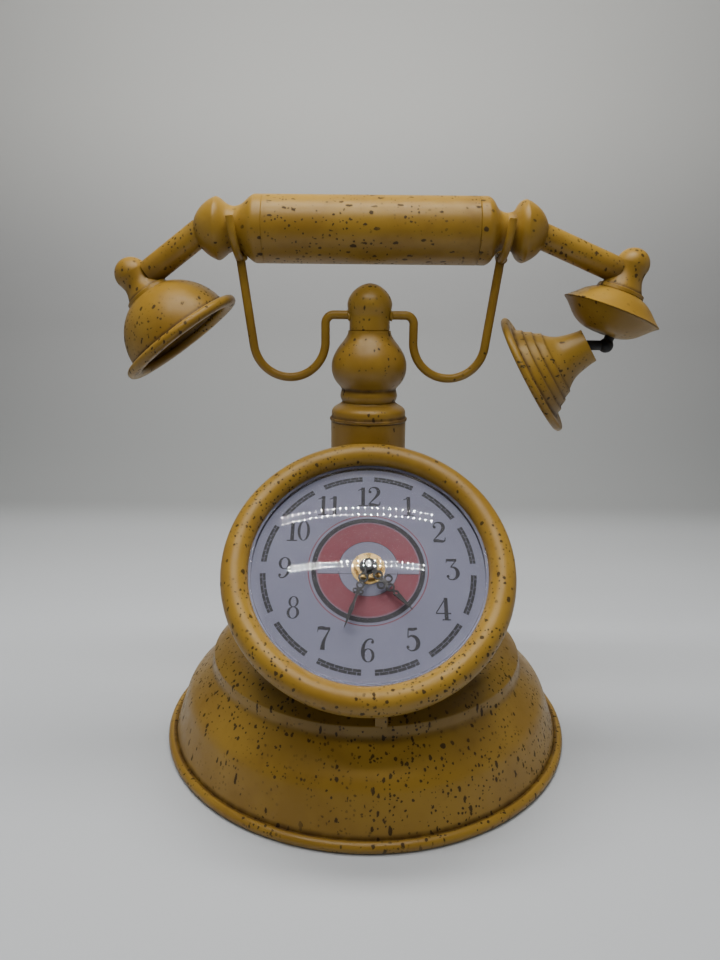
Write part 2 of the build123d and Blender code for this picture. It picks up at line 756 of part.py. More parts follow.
with BuildPart() as movement_pad:
    with BuildSketch(on_dial(0, 0, pad_level)):
        Circle(pad_radius)
        Circle(bushing_radius + drill_clearance, mode=Mode.SUBTRACT)
    extrude(amount=pad_thickness)
save(movement_pad, "movement_pad")

with BuildPart() as train_plate:
    with BuildSketch(on_dial(0, 0, train_plate_level)):
        RectangleRounded(movement_side, movement_side, corner_round)
        Circle(arbor_radius + 0.3, mode=Mode.SUBTRACT)
        with Locations((0, battery_up)):
            Rectangle(2 * bay_half_length, bay_width, mode=Mode.SUBTRACT)
        with Locations(knob_place):
            Circle(knob_shaft_radius + 0.1, mode=Mode.SUBTRACT)
        with Locations(third_place, motion_place):
            Circle(pivot_radius + pivot_clearance, mode=Mode.SUBTRACT)
    extrude(amount=plate_gap)
save(train_plate, "train_plate")

with BuildPart() as movement_back:
    with BuildSketch(on_dial(0, 0, back_level)):
        RectangleRounded(movement_side, movement_side, corner_round)
    extrude(amount=back_depth)
    extrude(inner_outline(floor_level), amount=back_depth, mode=Mode.SUBTRACT)
    extrude(bay_outline(back_level), amount=back_depth, mode=Mode.SUBTRACT)
    for place in (centre, third_place, fifth_place, rotor_place):
        disc(pivot_hole_radius, place, pivot_back - 0.1, floor_level, Mode.SUBTRACT)
    disc(knob_shaft_radius + pivot_clearance, knob_place, back_level, floor_level, Mode.SUBTRACT)
save(movement_back, "movement_back")

button_length, button_radius = 1.2, 2.7
with BuildPart() as battery:
    battery_start = across_dial(-battery_length / 2, battery_up, battery_axis_level)
    with BuildSketch(battery_start):
        Circle(battery_radius)
    extrude(amount=battery_length - button_length)
    fillet(battery.edges().filter_by(GeomType.CIRCLE), radius=0.6)
    with BuildSketch(battery_start.offset(battery_length - button_length)):
        Circle(button_radius)
    extrude(amount=button_length)
save(battery, "battery")

contact_thickness = 0.4
contact_width, contact_height = 9.0, 8.0
for contact_name, contact_across in (
    ("contact_minus", -bay_half_length + 0.05),
    ("contact_plus", bay_half_length - contact_thickness - 0.05),
):
    with BuildPart() as contact:
        with BuildSketch(across_dial(contact_across, battery_up, battery_axis_level)):
            Rectangle(contact_width, contact_height)
        extrude(amount=contact_thickness)
    save(contact, contact_name)

# ---------------------------------------------------------------- hands
# Pierced hands: a collet, a waisted stem with rings beside it, and a long thin point.
minute_hand_angle = 90.0 - 199.0            # from the 3 o'clock direction, anticlockwise
hour_hand_angle = 90.0 - 137.0
minute_hand_length, hour_hand_length = 30.0, 27.0


def hand_outline(level, angle, length, bore, collet, rings, half_width):
    """Flat outline of a pierced hand: rings are (distance, sideways, outer radius, hole radius)."""
    with BuildSketch(on_dial(0, 0, level)) as outline:
        with Locations(Location((0, 0, 0), (0, 0, angle))):
            Circle(collet)
            Polygon(
                (0, -half_width),
                (0.62 * length, -half_width),
                (0.7 * length, -1.8 * half_width),
                (length, -0.12),
                (length, 0.12),
                (0.7 * length, 1.8 * half_width),
                (0.62 * length, half_width),
                (0, half_width),
                align=None,
            )
            for distance, sideways, outer, hole in rings:
                with Locations((distance, sideways)):
                    Circle(outer)
            for distance, sideways, outer, hole in rings:
                with Locations((distance, sideways)):
                    Circle(hole, mode=Mode.SUBTRACT)
            Circle(bore, mode=Mode.SUBTRACT)
    return outline.sketch


minute_rings = [(6.6, 0, 2.2, 1.3), (10.4, 0, 1.8, 1.0), (13.2, -1.3, 1.1, 0.55), (13.2, 1.3, 1.1, 0.55)]
hour_rings = [
    (6.0, 0, 2.2, 1.3),
    (10.2, -2.1, 1.9, 1.1),
    (10.2, 2.1, 1.9, 1.1),
    (13.6, 0, 1.9, 1.1),
    (17.2, 0, 1.3, 0.6),
]
for name, level, angle, length, bore, collet, rings, half_width, thickness in (
    ("minute_hand", minute_hand_level, minute_hand_angle, minute_hand_length, arbor_radius, 2.6,
     minute_rings, 0.55, minute_hand_thickness),
    ("hour_hand", hour_hand_level, hour_hand_angle, hour_hand_length, hour_tube_radius, 3.4,
     hour_rings, 0.6, hour_hand_thickness),
):
    with BuildPart() as hand:
        extrude(hand_outline(level, angle, length, bore + 0.01, collet, rings, half_width), amount=thickness)
    save(hand, name)

# ---------------------------------------------------------------- handset
with BuildPart() as grip_tube:
    with BuildSketch(Plane.YZ.offset(-grip_half_length)):
        with Locations((post_y, handset_height)):
            Circle(grip_radius)
            Circle(grip_radius - grip_wall, mode=Mode.SUBTRACT)
    extrude(amount=2 * grip_half_length)
save(grip_tube, "grip_tube")


def handset_outline_points(points):
    """Points given as distance along the handset and radius, set on its section plane."""
    return [(x, handset_height + r) for x, r in points]


def cap_piece(side, neck):
    """Turned end cap between the grip and a neck, counterbored from the grip."""
    slope = handset_outline_points([
        (side * (grip_half_length + 3.6), grip_radius),
        (side * (grip_half_length + 6.0), grip_radius - 0.9),
        (side * (neck_x - 3.4), neck + 1.3),
        (side * neck_x, neck),
    ])
    with BuildPart() as piece:
        with BuildSketch(post_section):
            with BuildLine():
                Polyline(*handset_outline_points([
                    (side * neck_x, neck),
                    (side * neck_x, handset_rod_radius + 0.1),
                    (side * (grip_half_length + 7.0), handset_rod_radius + 0.1),
                    (side * (grip_half_length + 7.0), 0.6 * grip_radius),
                    (side * grip_half_length, 0.6 * grip_radius),
                    (side * grip_half_length, grip_radius),
                    (side * (grip_half_length + 3.6), grip_radius),
                ]))
                Spline(*slope, tangents=[(side, 0), (side, -0.25)])
            make_face()
        revolve(axis=handset_axis)
    return piece


def bulb_piece(side, neck):
    """Turned bulb with a sharp crease at its widest place and a rounded outer end."""
    with BuildPart() as piece:
        with BuildSketch(post_section):
            with BuildLine():
                Spline(
                    *handset_outline_points([
                        (side * neck_x, neck),
                        (side * (neck_x + 3.2), neck + 0.65),
                        (side * (neck_x + 6.2), bulb_radius - 1.4),
                        (side * bulb_x, bulb_radius),
                    ]),
                    tangents=[(side, 0.05), (side, 0.2)],
                )
                Spline(
                    *handset_outline_points([
                        (side * bulb_x, bulb_radius),
                        (side * (bulb_x + 5.6), bulb_radius - 3.0),
                        (side * bulb_end_x, 4.0),
                        (side * (bulb_end_x + 0.6), 0),
                    ]),
                    tangents=[(side, -0.3), (0, -1)],
                )
                Polyline(*handset_outline_points([
                    (side * (bulb_end_x + 0.6), 0),
                    (side * (bulb_end_x - 4.0), 0),
                    (side * (bulb_end_x - 4.0), handset_rod_radius + 0.02),
                    (side * (bulb_x + 1.0), handset_rod_radius + 0.02),
                    (side * (bulb_x + 1.0), 0.6 * neck),
                    (side * neck_x, 0.6 * neck),
                    (side * neck_x, neck),
                ]))
            make_face()
        revolve(axis=handset_axis)
    return piece


bulbs = {}
for side, side_name, neck in ((-1, "left", neck_radius_left), (1, "right", neck_radius_right)):
    save(cap_piece(side, neck), f"grip_cap_{side_name}")
    bulbs[side_name] = bulb_piece(side, neck)
    save(bulbs[side_name], f"bulb_{side_name}")

with BuildPart() as handset_rod:
    with BuildSketch(Plane.YZ.offset(-(bulb_end_x - 4.2))):
        with Locations((post_y, handset_height)):
            Circle(handset_rod_radius)
    extrude(amount=2 * (bulb_end_x - 4.2))
save(handset_rod, "handset_rod")

# Earpiece: a pressed dome with a rolled rim, hung on an elbow with a ball.
ear_direction = Vector(-0.610, 0, 0.792).normalized()       # from the rim towards the ball
ear_rim_centre = Vector(-91.0, post_y, 190.7)
ear_rim_radius = 32.5
ear_rim_thickness = 5.0
ear_dome_radius = 27.2
ear_dome_base = 3.0
ear_dome_top = ear_dome_base + ear_dome_radius
ear_ball_distance = 40.0
ear_ball_radius = 8.2
screw_radius = 2.0
ear_section = lathe_plane(ear_rim_centre, ear_direction)
ear_axis = Axis(ear_rim_centre, ear_direction)

with BuildPart() as earpiece_dome:
    with BuildSketch(ear_section):
        with BuildLine():
            CenterArc((0, ear_dome_base), ear_dome_radius, 0, 90)
            Line((0, ear_dome_top), (0, ear_dome_top - sheet))
            CenterArc((0, ear_dome_base), ear_dome_radius - sheet, 0, 90)
            Line((ear_dome_radius - sheet, ear_dome_base), (ear_dome_radius, ear_dome_base))
        make_face()
    revolve(axis=ear_axis)
    with BuildSketch(ear_section):
        with Locations(((ear_dome_radius - 1.6 + ear_rim_radius) / 2, ear_rim_thickness / 2)):
            SlotOverall(ear_rim_radius - ear_dome_radius + 1.6, ear_rim_thickness - 0.4)
    revolve(axis=ear_axis)
    with Locations(Plane(origin=ear_rim_centre + ear_direction * ear_dome_top, z_dir=ear_direction)):
        Cylinder(screw_radius + drill_clearance, 6 * sheet, mode=Mode.SUBTRACT)
save(earpiece_dome, "earpiece_dome")


def elbow_piece(section, axis, foot_level, foot_radius, ball_level, ball_radius, hole_depth):
    """Ball on a flared collar with a ring step, standing on a shell and drilled for its screw."""
    with BuildPart() as piece:
        with BuildSketch(section):
            with BuildLine():
                Polyline(
                    (0, foot_level),
                    (foot_radius, foot_level),
                    (foot_radius - 0.3, foot_level + 2.0),
                    (foot_radius - 1.4, foot_level + 2.4),
                )
                Spline(
                    (foot_radius - 1.4, foot_level + 2.4),
                    (0.93 * ball_radius, ball_level - 0.55 * ball_radius),
                    (ball_radius, ball_level),
                    tangents=[(-0.5, 1), (0.2, 1)],
                )
                CenterArc((0, ball_level), ball_radius, 0, 90)
                Line((0, ball_level + ball_radius), (0, foot_level))
            make_face()
        revolve(axis=axis)
        with BuildSketch(section):
            with BuildLine():
                Polyline(
                    (0, foot_level),
                    (screw_radius + 0.02, foot_level),
                    (screw_radius + 0.02, foot_level + hole_depth),
                    (0, foot_level + hole_depth),
                    close=True,
                )
            make_face()
        revolve(axis=axis, mode=Mode.SUBTRACT)
    return piece


ear_foot_radius = 11.4
ear_foot_level = ear_dome_top - 3.0
with BuildPart() as ear_envelope:
    with BuildSketch(ear_section):
        with BuildLine():
            CenterArc((0, ear_dome_base), ear_dome_radius, 0, 90)
            Polyline((0, ear_dome_top), (0, ear_dome_base), (ear_dome_radius, ear_dome_base))
        make_face()
    revolve(axis=ear_axis)

ear_ball = elbow_piece(
    ear_section, ear_axis, ear_foot_level, ear_foot_radius, ear_ball_distance, ear_ball_radius, 9.0
)
with BuildPart() as ear_elbow:
    add(ear_ball.part)
    add(ear_envelope.part, mode=Mode.SUBTRACT)
save(ear_elbow, "ear_elbow")

# The screw passes the dome from inside and holds the elbow.
screw_head_radius, screw_head_height = 4.0, 1.85
screw_end = ear_foot_level + 8.5
screw_seat = ear_dome_top - sheet - 0.35     # the head is flat and the dome is round
with BuildPart() as ear_screw:
    with BuildSketch(ear_section):
        with BuildLine():
            Polyline(
                (0, screw_end),
                (screw_radius, screw_end),
                (screw_radius, screw_seat),
                (screw_head_radius, screw_seat),
                (screw_head_radius, screw_seat - screw_head_height),
                (0, screw_seat - screw_head_height),
                close=True,
            )
        make_face()
    revolve(axis=ear_axis)
save(ear_screw, "ear_screw")

# Mouthpiece pod: two pressed shells with a lapped seam, under a second elbow.
pod_direction = Vector(0.35, 0, 0.937).normalized()         # from the pod towards the ball
pod_centre = Vector(118.1, post_y, 206.7)
pod_radius = 24.0
pod_height = 10.6
mouth_ball_distance = 23.9
mouth_ball_radius = 8.0
pod_section = lathe_plane(pod_centre, pod_direction)
pod_axis = Axis(pod_centre, pod_direction)
pod_bulge = (0.66 * pod_radius, 0.68 * pod_height)


def pod_shell(up, rim_radius):
    """Shallow pressed shell, turned up or down, from its rim to its flat middle."""
    with BuildPart() as piece:
        with BuildSketch(pod_section):
            with BuildLine():
                Line((rim_radius - sheet, 0), (rim_radius, 0))
                Spline(
                    (rim_radius, 0),
                    (pod_bulge[0], up * pod_bulge[1]),
                    (0.3 * pod_radius, up * pod_height),
                    (0, up * pod_height),
                    tangents=[(-0.6, up * 0.4), (-1, 0)],
                )
                Line((0, up * pod_height), (0, up * (pod_height - sheet)))
                Spline(
                    (0, up * (pod_height - sheet)),
                    (0.3 * pod_radius, up * (pod_height - sheet)),
                    (pod_bulge[0] - 0.5 * sheet, up * (pod_bulge[1] - sheet)),
                    (rim_radius - sheet, 0),
                    tangents=[(1, 0), (0.6, -up * 0.4)],
                )
            make_face()
        revolve(axis=pod_axis)
    return piece


pod_upper = pod_shell(1, pod_radius)
save(pod_upper, "pod_upper")
pod_lower = pod_shell(-1, pod_radius - 0.5)
save(pod_lower, "pod_lower")

mouth_foot_radius, mouth_foot_sink = 11.6, 1.2
mouth_foot_level = pod_height - mouth_foot_sink
mouth_ball = elbow_piece(
    pod_section, pod_axis, mouth_foot_level, mouth_foot_radius, mouth_ball_distance, mouth_ball_radius, 4.0
)
with BuildPart() as pod_envelope:
    add(pod_upper.part)
    with BuildSketch(pod_section):
        with BuildLine():
            Polyline(
                (0, 0),
                (pod_radius - 4, 0),
                pod_bulge,
                (0.3 * pod_radius, pod_height - 0.3),
                (0, pod_height - 0.3),
                close=True,
            )
        make_face()
    revolve(axis=pod_axis)
with BuildPart() as mouth_elbow:
    add(mouth_ball.part)
    add(pod_envelope.part, mode=Mode.SUBTRACT)
save(mouth_elbow, "mouth_elbow")

# Arm tubes: each leaves its bulb at a slant and ends against its elbow.
for side_name, start, end, radius, elbow, shell in (
    ("left", (-81.5, 242.1), (-108.2, 222.2), 6.3, ear_elbow, ear_envelope),
    ("right", (78.8, 243.2), (120.6, 226.0), 6.15, mouth_elbow, pod_envelope),
):
    start_point = Vector(start[0], post_y, start[1])
    end_point = Vector(end[0], post_y, end[1])
    with BuildPart() as tube_blank:
        with BuildSketch(Plane(origin=start_point, z_dir=end_point - start_point)):
            Circle(radius)
            Circle(radius - arm_tube_wall, mode=Mode.SUBTRACT)
        extrude(amount=(end_point - start_point).length)
        add(bulbs[side_name].part, mode=Mode.SUBTRACT)
        add(elbow.part, mode=Mode.SUBTRACT)
        add(shell.part, mode=Mode.SUBTRACT)
    with BuildPart() as arm_tube:
        add(tube_blank.part.solids().sort_by(SortBy.VOLUME)[-1])
    save(arm_tube, f"arm_tube_{side_name}")

# Horn: a flared mouthpiece with ring steps and a thick rim, on a stub under the pod.
horn_direction = Vector(-0.83, 0.24, -0.50).normalized()    # from the small end towards the mouth
horn_start = Vector(108.75, post_y, 190.85)
horn_length = 32.4
horn_start_radius = 8.65
horn_rim_radius = 32.0
horn_rim_thickness = 3.6
horn_section = lathe_plane(horn_start, horn_direction)
horn_axis = Axis(horn_start, horn_direction)
horn_flare = [(horn_start_radius, 0), (9.65, 6.5), (11.95, 13.2), (15.45, 17.4)]
horn_steps = [(16.4, 17.6), (18.3, 21.2), (19.4, 21.5), (21.3, 25.0), (22.4, 25.3), (24.2, 28.9)]

with BuildPart() as horn:
    with BuildSketch(horn_section):
        with BuildLine():
            Spline(*horn_flare, tangents=[(0.05, 1), (0.8, 0.8)])
            Polyline(
                horn_flare[-1],
                *horn_steps,
                (horn_steps[-1][0], horn_length - 1.0),
                (horn_steps[-1][0] - 1.4, horn_length - 1.0),
                (horn_steps[0][0] - 1.0, 18.9),
                (horn_flare[2][0] - 1.2, horn_flare[2][1] + 0.8),
                (horn_start_radius - 1.3, 7.2),
                (horn_start_radius - 1.5, 1.4),
                (0, 1.4),
                (0, 0),
                (horn_start_radius, 0),
            )
        make_face()
    revolve(axis=horn_axis)
    horn_rim_inner = horn_steps[-1][0] - 1.4
    with BuildSketch(horn_section):
        with Locations(((horn_rim_inner + horn_rim_radius) / 2, horn_length - horn_rim_thickness / 2)):
            SlotOverall(horn_rim_radius - horn_rim_inner, horn_rim_thickness)
    revolve(axis=horn_axis)
save(horn, "horn")

stub_ball_centre = Vector(117.1, post_y, 190.8)
stub_ball_radius = 3.6
stub_shaft_radius = 2.4
with BuildPart() as stub_blank:
    with Locations(stub_ball_centre):
        Sphere(stub_ball_radius)
    with BuildSketch(Plane(origin=stub_ball_centre, z_dir=horn_start - stub_ball_centre)):
        Circle(stub_shaft_radius)
    extrude(amount=(horn_start - stub_ball_centre).length + 1.0)
    with BuildSketch(Plane(origin=stub_ball_centre, z_dir=pod_direction)):
        Circle(stub_shaft_radius)
    extrude(amount=6.0)
    add(horn.part, mode=Mode.SUBTRACT)
    add(pod_lower.part, mode=Mode.SUBTRACT)
with BuildPart() as horn_stub:
    add(stub_blank.part.solids().sort_by(SortBy.VOLUME)[-1])
save(horn_stub, "horn_stub")
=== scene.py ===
import math
import bpy
import numpy as np
from mathutils import Matrix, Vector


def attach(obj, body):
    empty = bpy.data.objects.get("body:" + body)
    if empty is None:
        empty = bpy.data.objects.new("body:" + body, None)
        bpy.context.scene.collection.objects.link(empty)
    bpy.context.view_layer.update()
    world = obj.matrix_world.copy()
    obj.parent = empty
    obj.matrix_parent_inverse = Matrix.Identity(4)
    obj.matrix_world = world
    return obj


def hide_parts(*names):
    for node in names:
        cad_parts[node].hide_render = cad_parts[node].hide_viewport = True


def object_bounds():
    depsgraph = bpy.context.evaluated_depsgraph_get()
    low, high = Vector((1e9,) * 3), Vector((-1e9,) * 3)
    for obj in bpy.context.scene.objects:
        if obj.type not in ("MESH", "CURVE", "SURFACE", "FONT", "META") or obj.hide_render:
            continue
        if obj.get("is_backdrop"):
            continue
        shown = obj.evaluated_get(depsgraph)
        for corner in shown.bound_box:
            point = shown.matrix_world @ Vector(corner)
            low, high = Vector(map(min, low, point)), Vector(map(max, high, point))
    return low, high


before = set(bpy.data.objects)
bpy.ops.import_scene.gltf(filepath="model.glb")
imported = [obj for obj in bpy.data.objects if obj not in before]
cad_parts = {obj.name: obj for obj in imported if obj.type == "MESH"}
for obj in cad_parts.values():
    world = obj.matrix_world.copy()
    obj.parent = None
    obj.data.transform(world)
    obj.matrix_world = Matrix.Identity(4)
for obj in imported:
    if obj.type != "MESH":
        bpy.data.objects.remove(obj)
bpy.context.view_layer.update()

# ------------------------ camera
# The camera stands close in front of the clock, a little below its top, and looks slightly down on it.
# It is rolled by about half a degree.
camera_place = (-0.00395, -0.330, 0.207)
lens_length, sensor_width = 26.25, 36.0
camera_tilt, camera_roll = math.radians(76.3), math.radians(0.57)


def placed(name, data):
    """New object that shows the data, linked into the scene."""
    made = bpy.data.objects.new(name, data)
    bpy.context.scene.collection.objects.link(made)
    return made


camera_data = bpy.data.cameras.new("camera")
camera_data.lens, camera_data.sensor_width = lens_length, sensor_width
camera = placed("camera", camera_data)
camera.matrix_world = (
    Matrix.Translation(camera_place)
    @ Matrix.Rotation(camera_tilt, 4, "X")
    @ Matrix.Rotation(camera_roll, 4, "Z")
)
bpy.context.scene.camera = camera

# ------------------------ table and backdrop
# One sheet of matt pale card: it lies flat under the clock and sweeps up behind it in a bend. Its colour
# holds painted shade that deepens towards the bend and painted light that brightens the upright part towards
# its top.
card_depth_front, card_depth_back, card_bend, card_height, card_half_width = 1.6, 0.40, 0.19, 1.5, 1.9


def card_line(count):
    """Side view of the card: a flat run, a quarter circle and an upright run, as (depth, height) points."""
    turn = np.linspace(0, np.pi / 2, count)
    bend = np.stack([card_depth_back + card_bend * np.sin(turn), card_bend * (1 - np.cos(turn))], 1)
    return np.vstack([(-card_depth_front, 0.0), bend, (card_depth_back + card_bend, card_height)])


def new_material(name):
    """New material with its node tree and its main shader."""
    made = bpy.data.materials.new(name)
    made.use_nodes = True
    return made, made.node_tree, made.node_tree.nodes["Principled BSDF"]


line = card_line(32)
sides = np.array([-card_half_width, card_half_width])
card_points = np.stack(np.broadcast_arrays(sides[None, :], line[:, :1], line[:, 1:]), -1).reshape(-1, 3)
row = np.arange(len(line) - 1) * 2
card_faces = np.stack([row, row + 1, row + 3, row + 2], 1)
card_mesh = bpy.data.meshes.new("card")
card_mesh.from_pydata(card_points.tolist(), [], card_faces.tolist())
card_mesh.shade_smooth()
card = placed("card", card_mesh)

card_material, card_tree, card_shader = new_material("pale_card")
card_nodes, card_links = card_tree.nodes, card_tree.links
card_shader.inputs["Roughness"].default_value = 0.7
card_shader.inputs["Specular IOR Level"].default_value = 0.2
card_place = card_nodes.new("ShaderNodeTexCoord").outputs["Object"]
card_split = card_nodes.new("ShaderNodeSeparateXYZ")
card_links.new(card_place, card_split.inputs[0])
card_shading_mix = card_nodes.new("ShaderNodeMix")
card_shading_mix.data_type = "RGBA"
# Painted shade and light: the card is darkest at the bend and lighter out on the floor and up the upright
# part.
card_painted_shade = (0.305, 0.315, 0.32, 1)
card_shading_stops = {
    "Y": ((0.10, (0.455, 0.475, 0.50, 1)), (0.30, (0.40, 0.415, 0.43, 1)), (0.42, card_painted_shade)),
    "Z": ((0.02, card_painted_shade), (0.22, (0.385, 0.39, 0.395, 1)), (0.46, (0.52, 0.525, 0.515, 1))),
}
card_shading_ramps = []
for axis, stops in card_shading_stops.items():
    card_shading_ramp = card_nodes.new("ShaderNodeValToRGB")
    card_shading_ramp.color_ramp.interpolation = "EASE"
    card_shading_ramp.color_ramp.elements.new(stops[1][0])
    for element, (position, colour) in zip(card_shading_ramp.color_ramp.elements, stops):
        element.position, element.color = position, colour
    card_links.new(card_split.outputs[axis], card_shading_ramp.inputs["Fac"])
    card_shading_ramps.append(card_shading_ramp)
card_rise = card_nodes.new("ShaderNodeMapRange")
card_rise.inputs["From Min"].default_value = 0.005
card_rise.inputs["From Max"].default_value = 0.05
card_links.new(card_split.outputs["Z"], card_rise.inputs["Value"])
card_links.new(card_rise.outputs[0], card_shading_mix.inputs["Factor"])
card_links.new(card_shading_ramps[0].outputs["Color"], card_shading_mix.inputs[6])
card_links.new(card_shading_ramps[1].outputs["Color"], card_shading_mix.inputs[7])
card_links.new(card_shading_mix.outputs[2], card_shader.inputs["Base Color"])
card_mesh.materials.append(card_material)
card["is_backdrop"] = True

# ------------------------ lamps
# Four rows of small white diodes hang over the clock and show in its glass. Soft lamps before, between and
# behind them do most of the lighting; one more lights the upright card, and two faint ones the sides.
row_height, row_count, dot_half, dot_strength = 0.650, 26, 0.0019, 560.0
rows = ((-0.037, -0.257, 0.195), (-0.062, -0.257, 0.195), (-0.236, -0.258, 0.189), (-0.253, -0.258, 0.189))


def unit(v):
    """The vector divided by its own length."""
    v = np.asarray(v, float)
    return v / np.linalg.norm(v)


dot_centres = np.vstack([
    np.stack(np.broadcast_arrays(np.linspace(first, last, row_count), depth, row_height), 1)
    for depth, first, last in rows
])
dot_corner = np.array([(-1, -1, 0), (-1, 1, 0), (1, 1, 0), (1, -1, 0)]) * dot_half
dot_points = (dot_centres[:, None] + dot_corner).reshape(-1, 3)
dot_faces = np.arange(len(dot_points)).reshape(-1, 4)
dot_mesh = bpy.data.meshes.new("diodes")
dot_mesh.from_pydata(dot_points.tolist(), [], dot_faces.tolist())
dot_object = placed("diodes", dot_mesh)
dot_material, dot_tree, dot_shader = new_material("diode_light")
dot_shader.inputs["Base Color"].default_value = (0.8, 0.8, 0.8, 1)
dot_shader.inputs["Emission Color"].default_value = (1.0, 0.985, 0.96, 1)
dot_shader.inputs["Emission Strength"].default_value = dot_strength
dot_mesh.materials.append(dot_material)
dot_object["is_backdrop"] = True

warm_white, side_white = (1.0, 0.975, 0.93), (1.0, 0.97, 0.92)
for lamp_name, place, aim, width, depth, power, tint in (
    ("lamp_front", (-0.03, -0.450, 0.600), (-0.03, -0.080, 0.05), 0.40, 0.05, 1.25, warm_white),
    ("lamp_middle", (-0.03, -0.045, 0.656), (-0.03, -0.045, 0.0), 0.46, 0.03, 0.5, warm_white),
    ("lamp_rear", (-0.03, 0.11, 0.656), (-0.03, 0.11, 0.0), 0.46, 0.10, 3.2, warm_white),
    ("lamp_back", (0.0, 0.24, 0.80), (0.0, 0.59, 0.42), 1.1, 0.20, 2.9, (1.0, 0.99, 0.96)),
    ("lamp_left", (-0.50, -0.05, 0.22), (0.0, 0.0, 0.12), 0.5, 0.44, 0.17, side_white),
    ("lamp_right", (0.50, -0.05, 0.22), (0.0, 0.0, 0.12), 0.5, 0.44, 0.21, side_white),
):
    lamp_data = bpy.data.lights.new(lamp_name, "AREA")
    lamp_data.shape = "RECTANGLE"
    lamp_data.size, lamp_data.size_y, lamp_data.energy = width, depth, power
    lamp_data.color = tint
    lamp = placed(lamp_name, lamp_data)
    lamp.visible_camera = False
    lamp.visible_transmission = lamp.visible_glossy = lamp_name in ("lamp_left", "lamp_right")
    back = unit(np.array(place) - np.array(aim))
    right = unit(np.cross((0, 0, 1), back) if abs(back[2]) < 0.99 else (1, 0, 0))
    lamp_frame = np.eye(4)
    lamp_frame[:3] = np.stack([right, np.cross(back, right), back, place], 1)
    lamp.matrix_world = Matrix(lamp_frame.tolist())

world = bpy.data.worlds.new("room")
world.use_nodes = True
world_nodes, world_links = world.node_tree.nodes, world.node_tree.links
world_nodes["Background"].inputs["Color"].default_value = (0.66, 0.67, 0.69, 1)
world_strength = world_nodes.new("ShaderNodeMapRange")
world_strength.inputs["To Min"].default_value = 0.035
world_strength.inputs["To Max"].default_value = 0.50
world_ray = world_nodes.new("ShaderNodeLightPath")
world_links.new(world_ray.outputs["Is Camera Ray"], world_strength.inputs["Value"])
world_links.new(world_strength.outputs[0], world_nodes["Background"].inputs["Strength"])
bpy.context.scene.world = world

# ------------------------ base bell
# The foot of the clock: a bell spun from thin steel, hollow beneath, with its edge rolled into a bead.
# It is painted mustard yellow and spattered with dark brown from a brush, like all of the metalwork.
millimetre = 0.001
sheet = 0.9
bead_radius, bead_centre = 2.4, (97.6, 2.2)


def bent(corners, bends, count=10):
    """Line through the corners, each inner corner rounded: the two tangent points lie a bend radius over the
    tangent of half the corner angle from it, and the arc is swung from one to the other about the centre."""
    pieces = [np.array([corners[0]], float)]
    for before, corner, after, bend in zip(corners, corners[1:], corners[2:], bends):
        corner = np.array(corner, float)
        u, v = unit(np.array(before) - corner), unit(np.array(after) - corner)
        half = np.arccos(np.clip(u @ v, -1, 1)) / 2
        middle = corner + unit(u + v) * bend / np.sin(half)
        a = corner + u * bend / np.tan(half) - middle
        b = corner + v * bend / np.tan(half) - middle
        swing = np.pi - 2 * half
        s = np.linspace(0, 1, count)[:, None]
        pieces.append(middle + (np.sin((1 - s) * swing) * a + np.sin(s * swing) * b) / np.sin(swing))
    pieces.append(np.array([corners[-1]], float))
    return np.vstack(pieces)


def circle_arc(centre, radius, start, end, count=20):
    """Points on a circle between two angles in degrees."""
    angle = np.radians(np.linspace(start, end, count))[:, None]
    return np.array(centre) + radius * np.hstack([np.cos(angle), np.sin(angle)])


def heading(points):
    """Direction of a line at each of its points, one unit long."""
    along = np.gradient(points, axis=0)
    return along / np.linalg.norm(along, axis=1)[:, None]


def leftwards(points):
    """Direction square to the left of a flat line at each of its points."""
    along = heading(points)
    return np.stack([-along[:, 1], along[:, 0]], 1)


def inwards(points, distance):
    """The line moved to its left by a distance, along the normal that halves the turn at each point."""
    return points + distance * leftwards(points)


def hollows(profile, reach=1.3):
    """How much dirt and painted shade the profile holds: where it turns inwards by an angle, the angle in
    radians, spread along the line as a bell curve of the given reach in millimetres, and limited to one."""
    step = np.diff(profile, axis=0, append=profile[:1])
    size = np.maximum(np.linalg.norm(step, axis=1), 1e-9)
    place = np.concatenate([[0], np.cumsum(size)[:-1]])
    before = np.roll(step, 1, axis=0)
    turn = np.arctan2(before[:, 0] * step[:, 1] - before[:, 1] * step[:, 0], (before * step).sum(1))
    x, y = profile[:, 0], profile[:, 1]
    area = (x * np.roll(y, -1) - y * np.roll(x, -1)).sum()
    turn = np.maximum(-turn * np.sign(area), 0)
    spread = np.exp(-(((place[:, None] - place[None, :]) / reach) ** 2))
    return np.minimum(spread @ turn, 1.0)


def divided(profile, step=1.5):
    """The profile with points added so that no two neighbours are further apart than the step."""
    gaps = np.linalg.norm(np.diff(profile, axis=0), axis=1)
    place = np.concatenate([[0], np.cumsum(gaps)])
    extra = [
        np.linspace(a, b, int(np.ceil((b - a) / step)) + 1)[:-1] for a, b in zip(place, place[1:]) if b > a
    ]
    where = np.concatenate(extra + [place[-1:]])
    return np.stack([np.interp(where, place, profile[:, k]) for k in range(profile.shape[1])], 1)


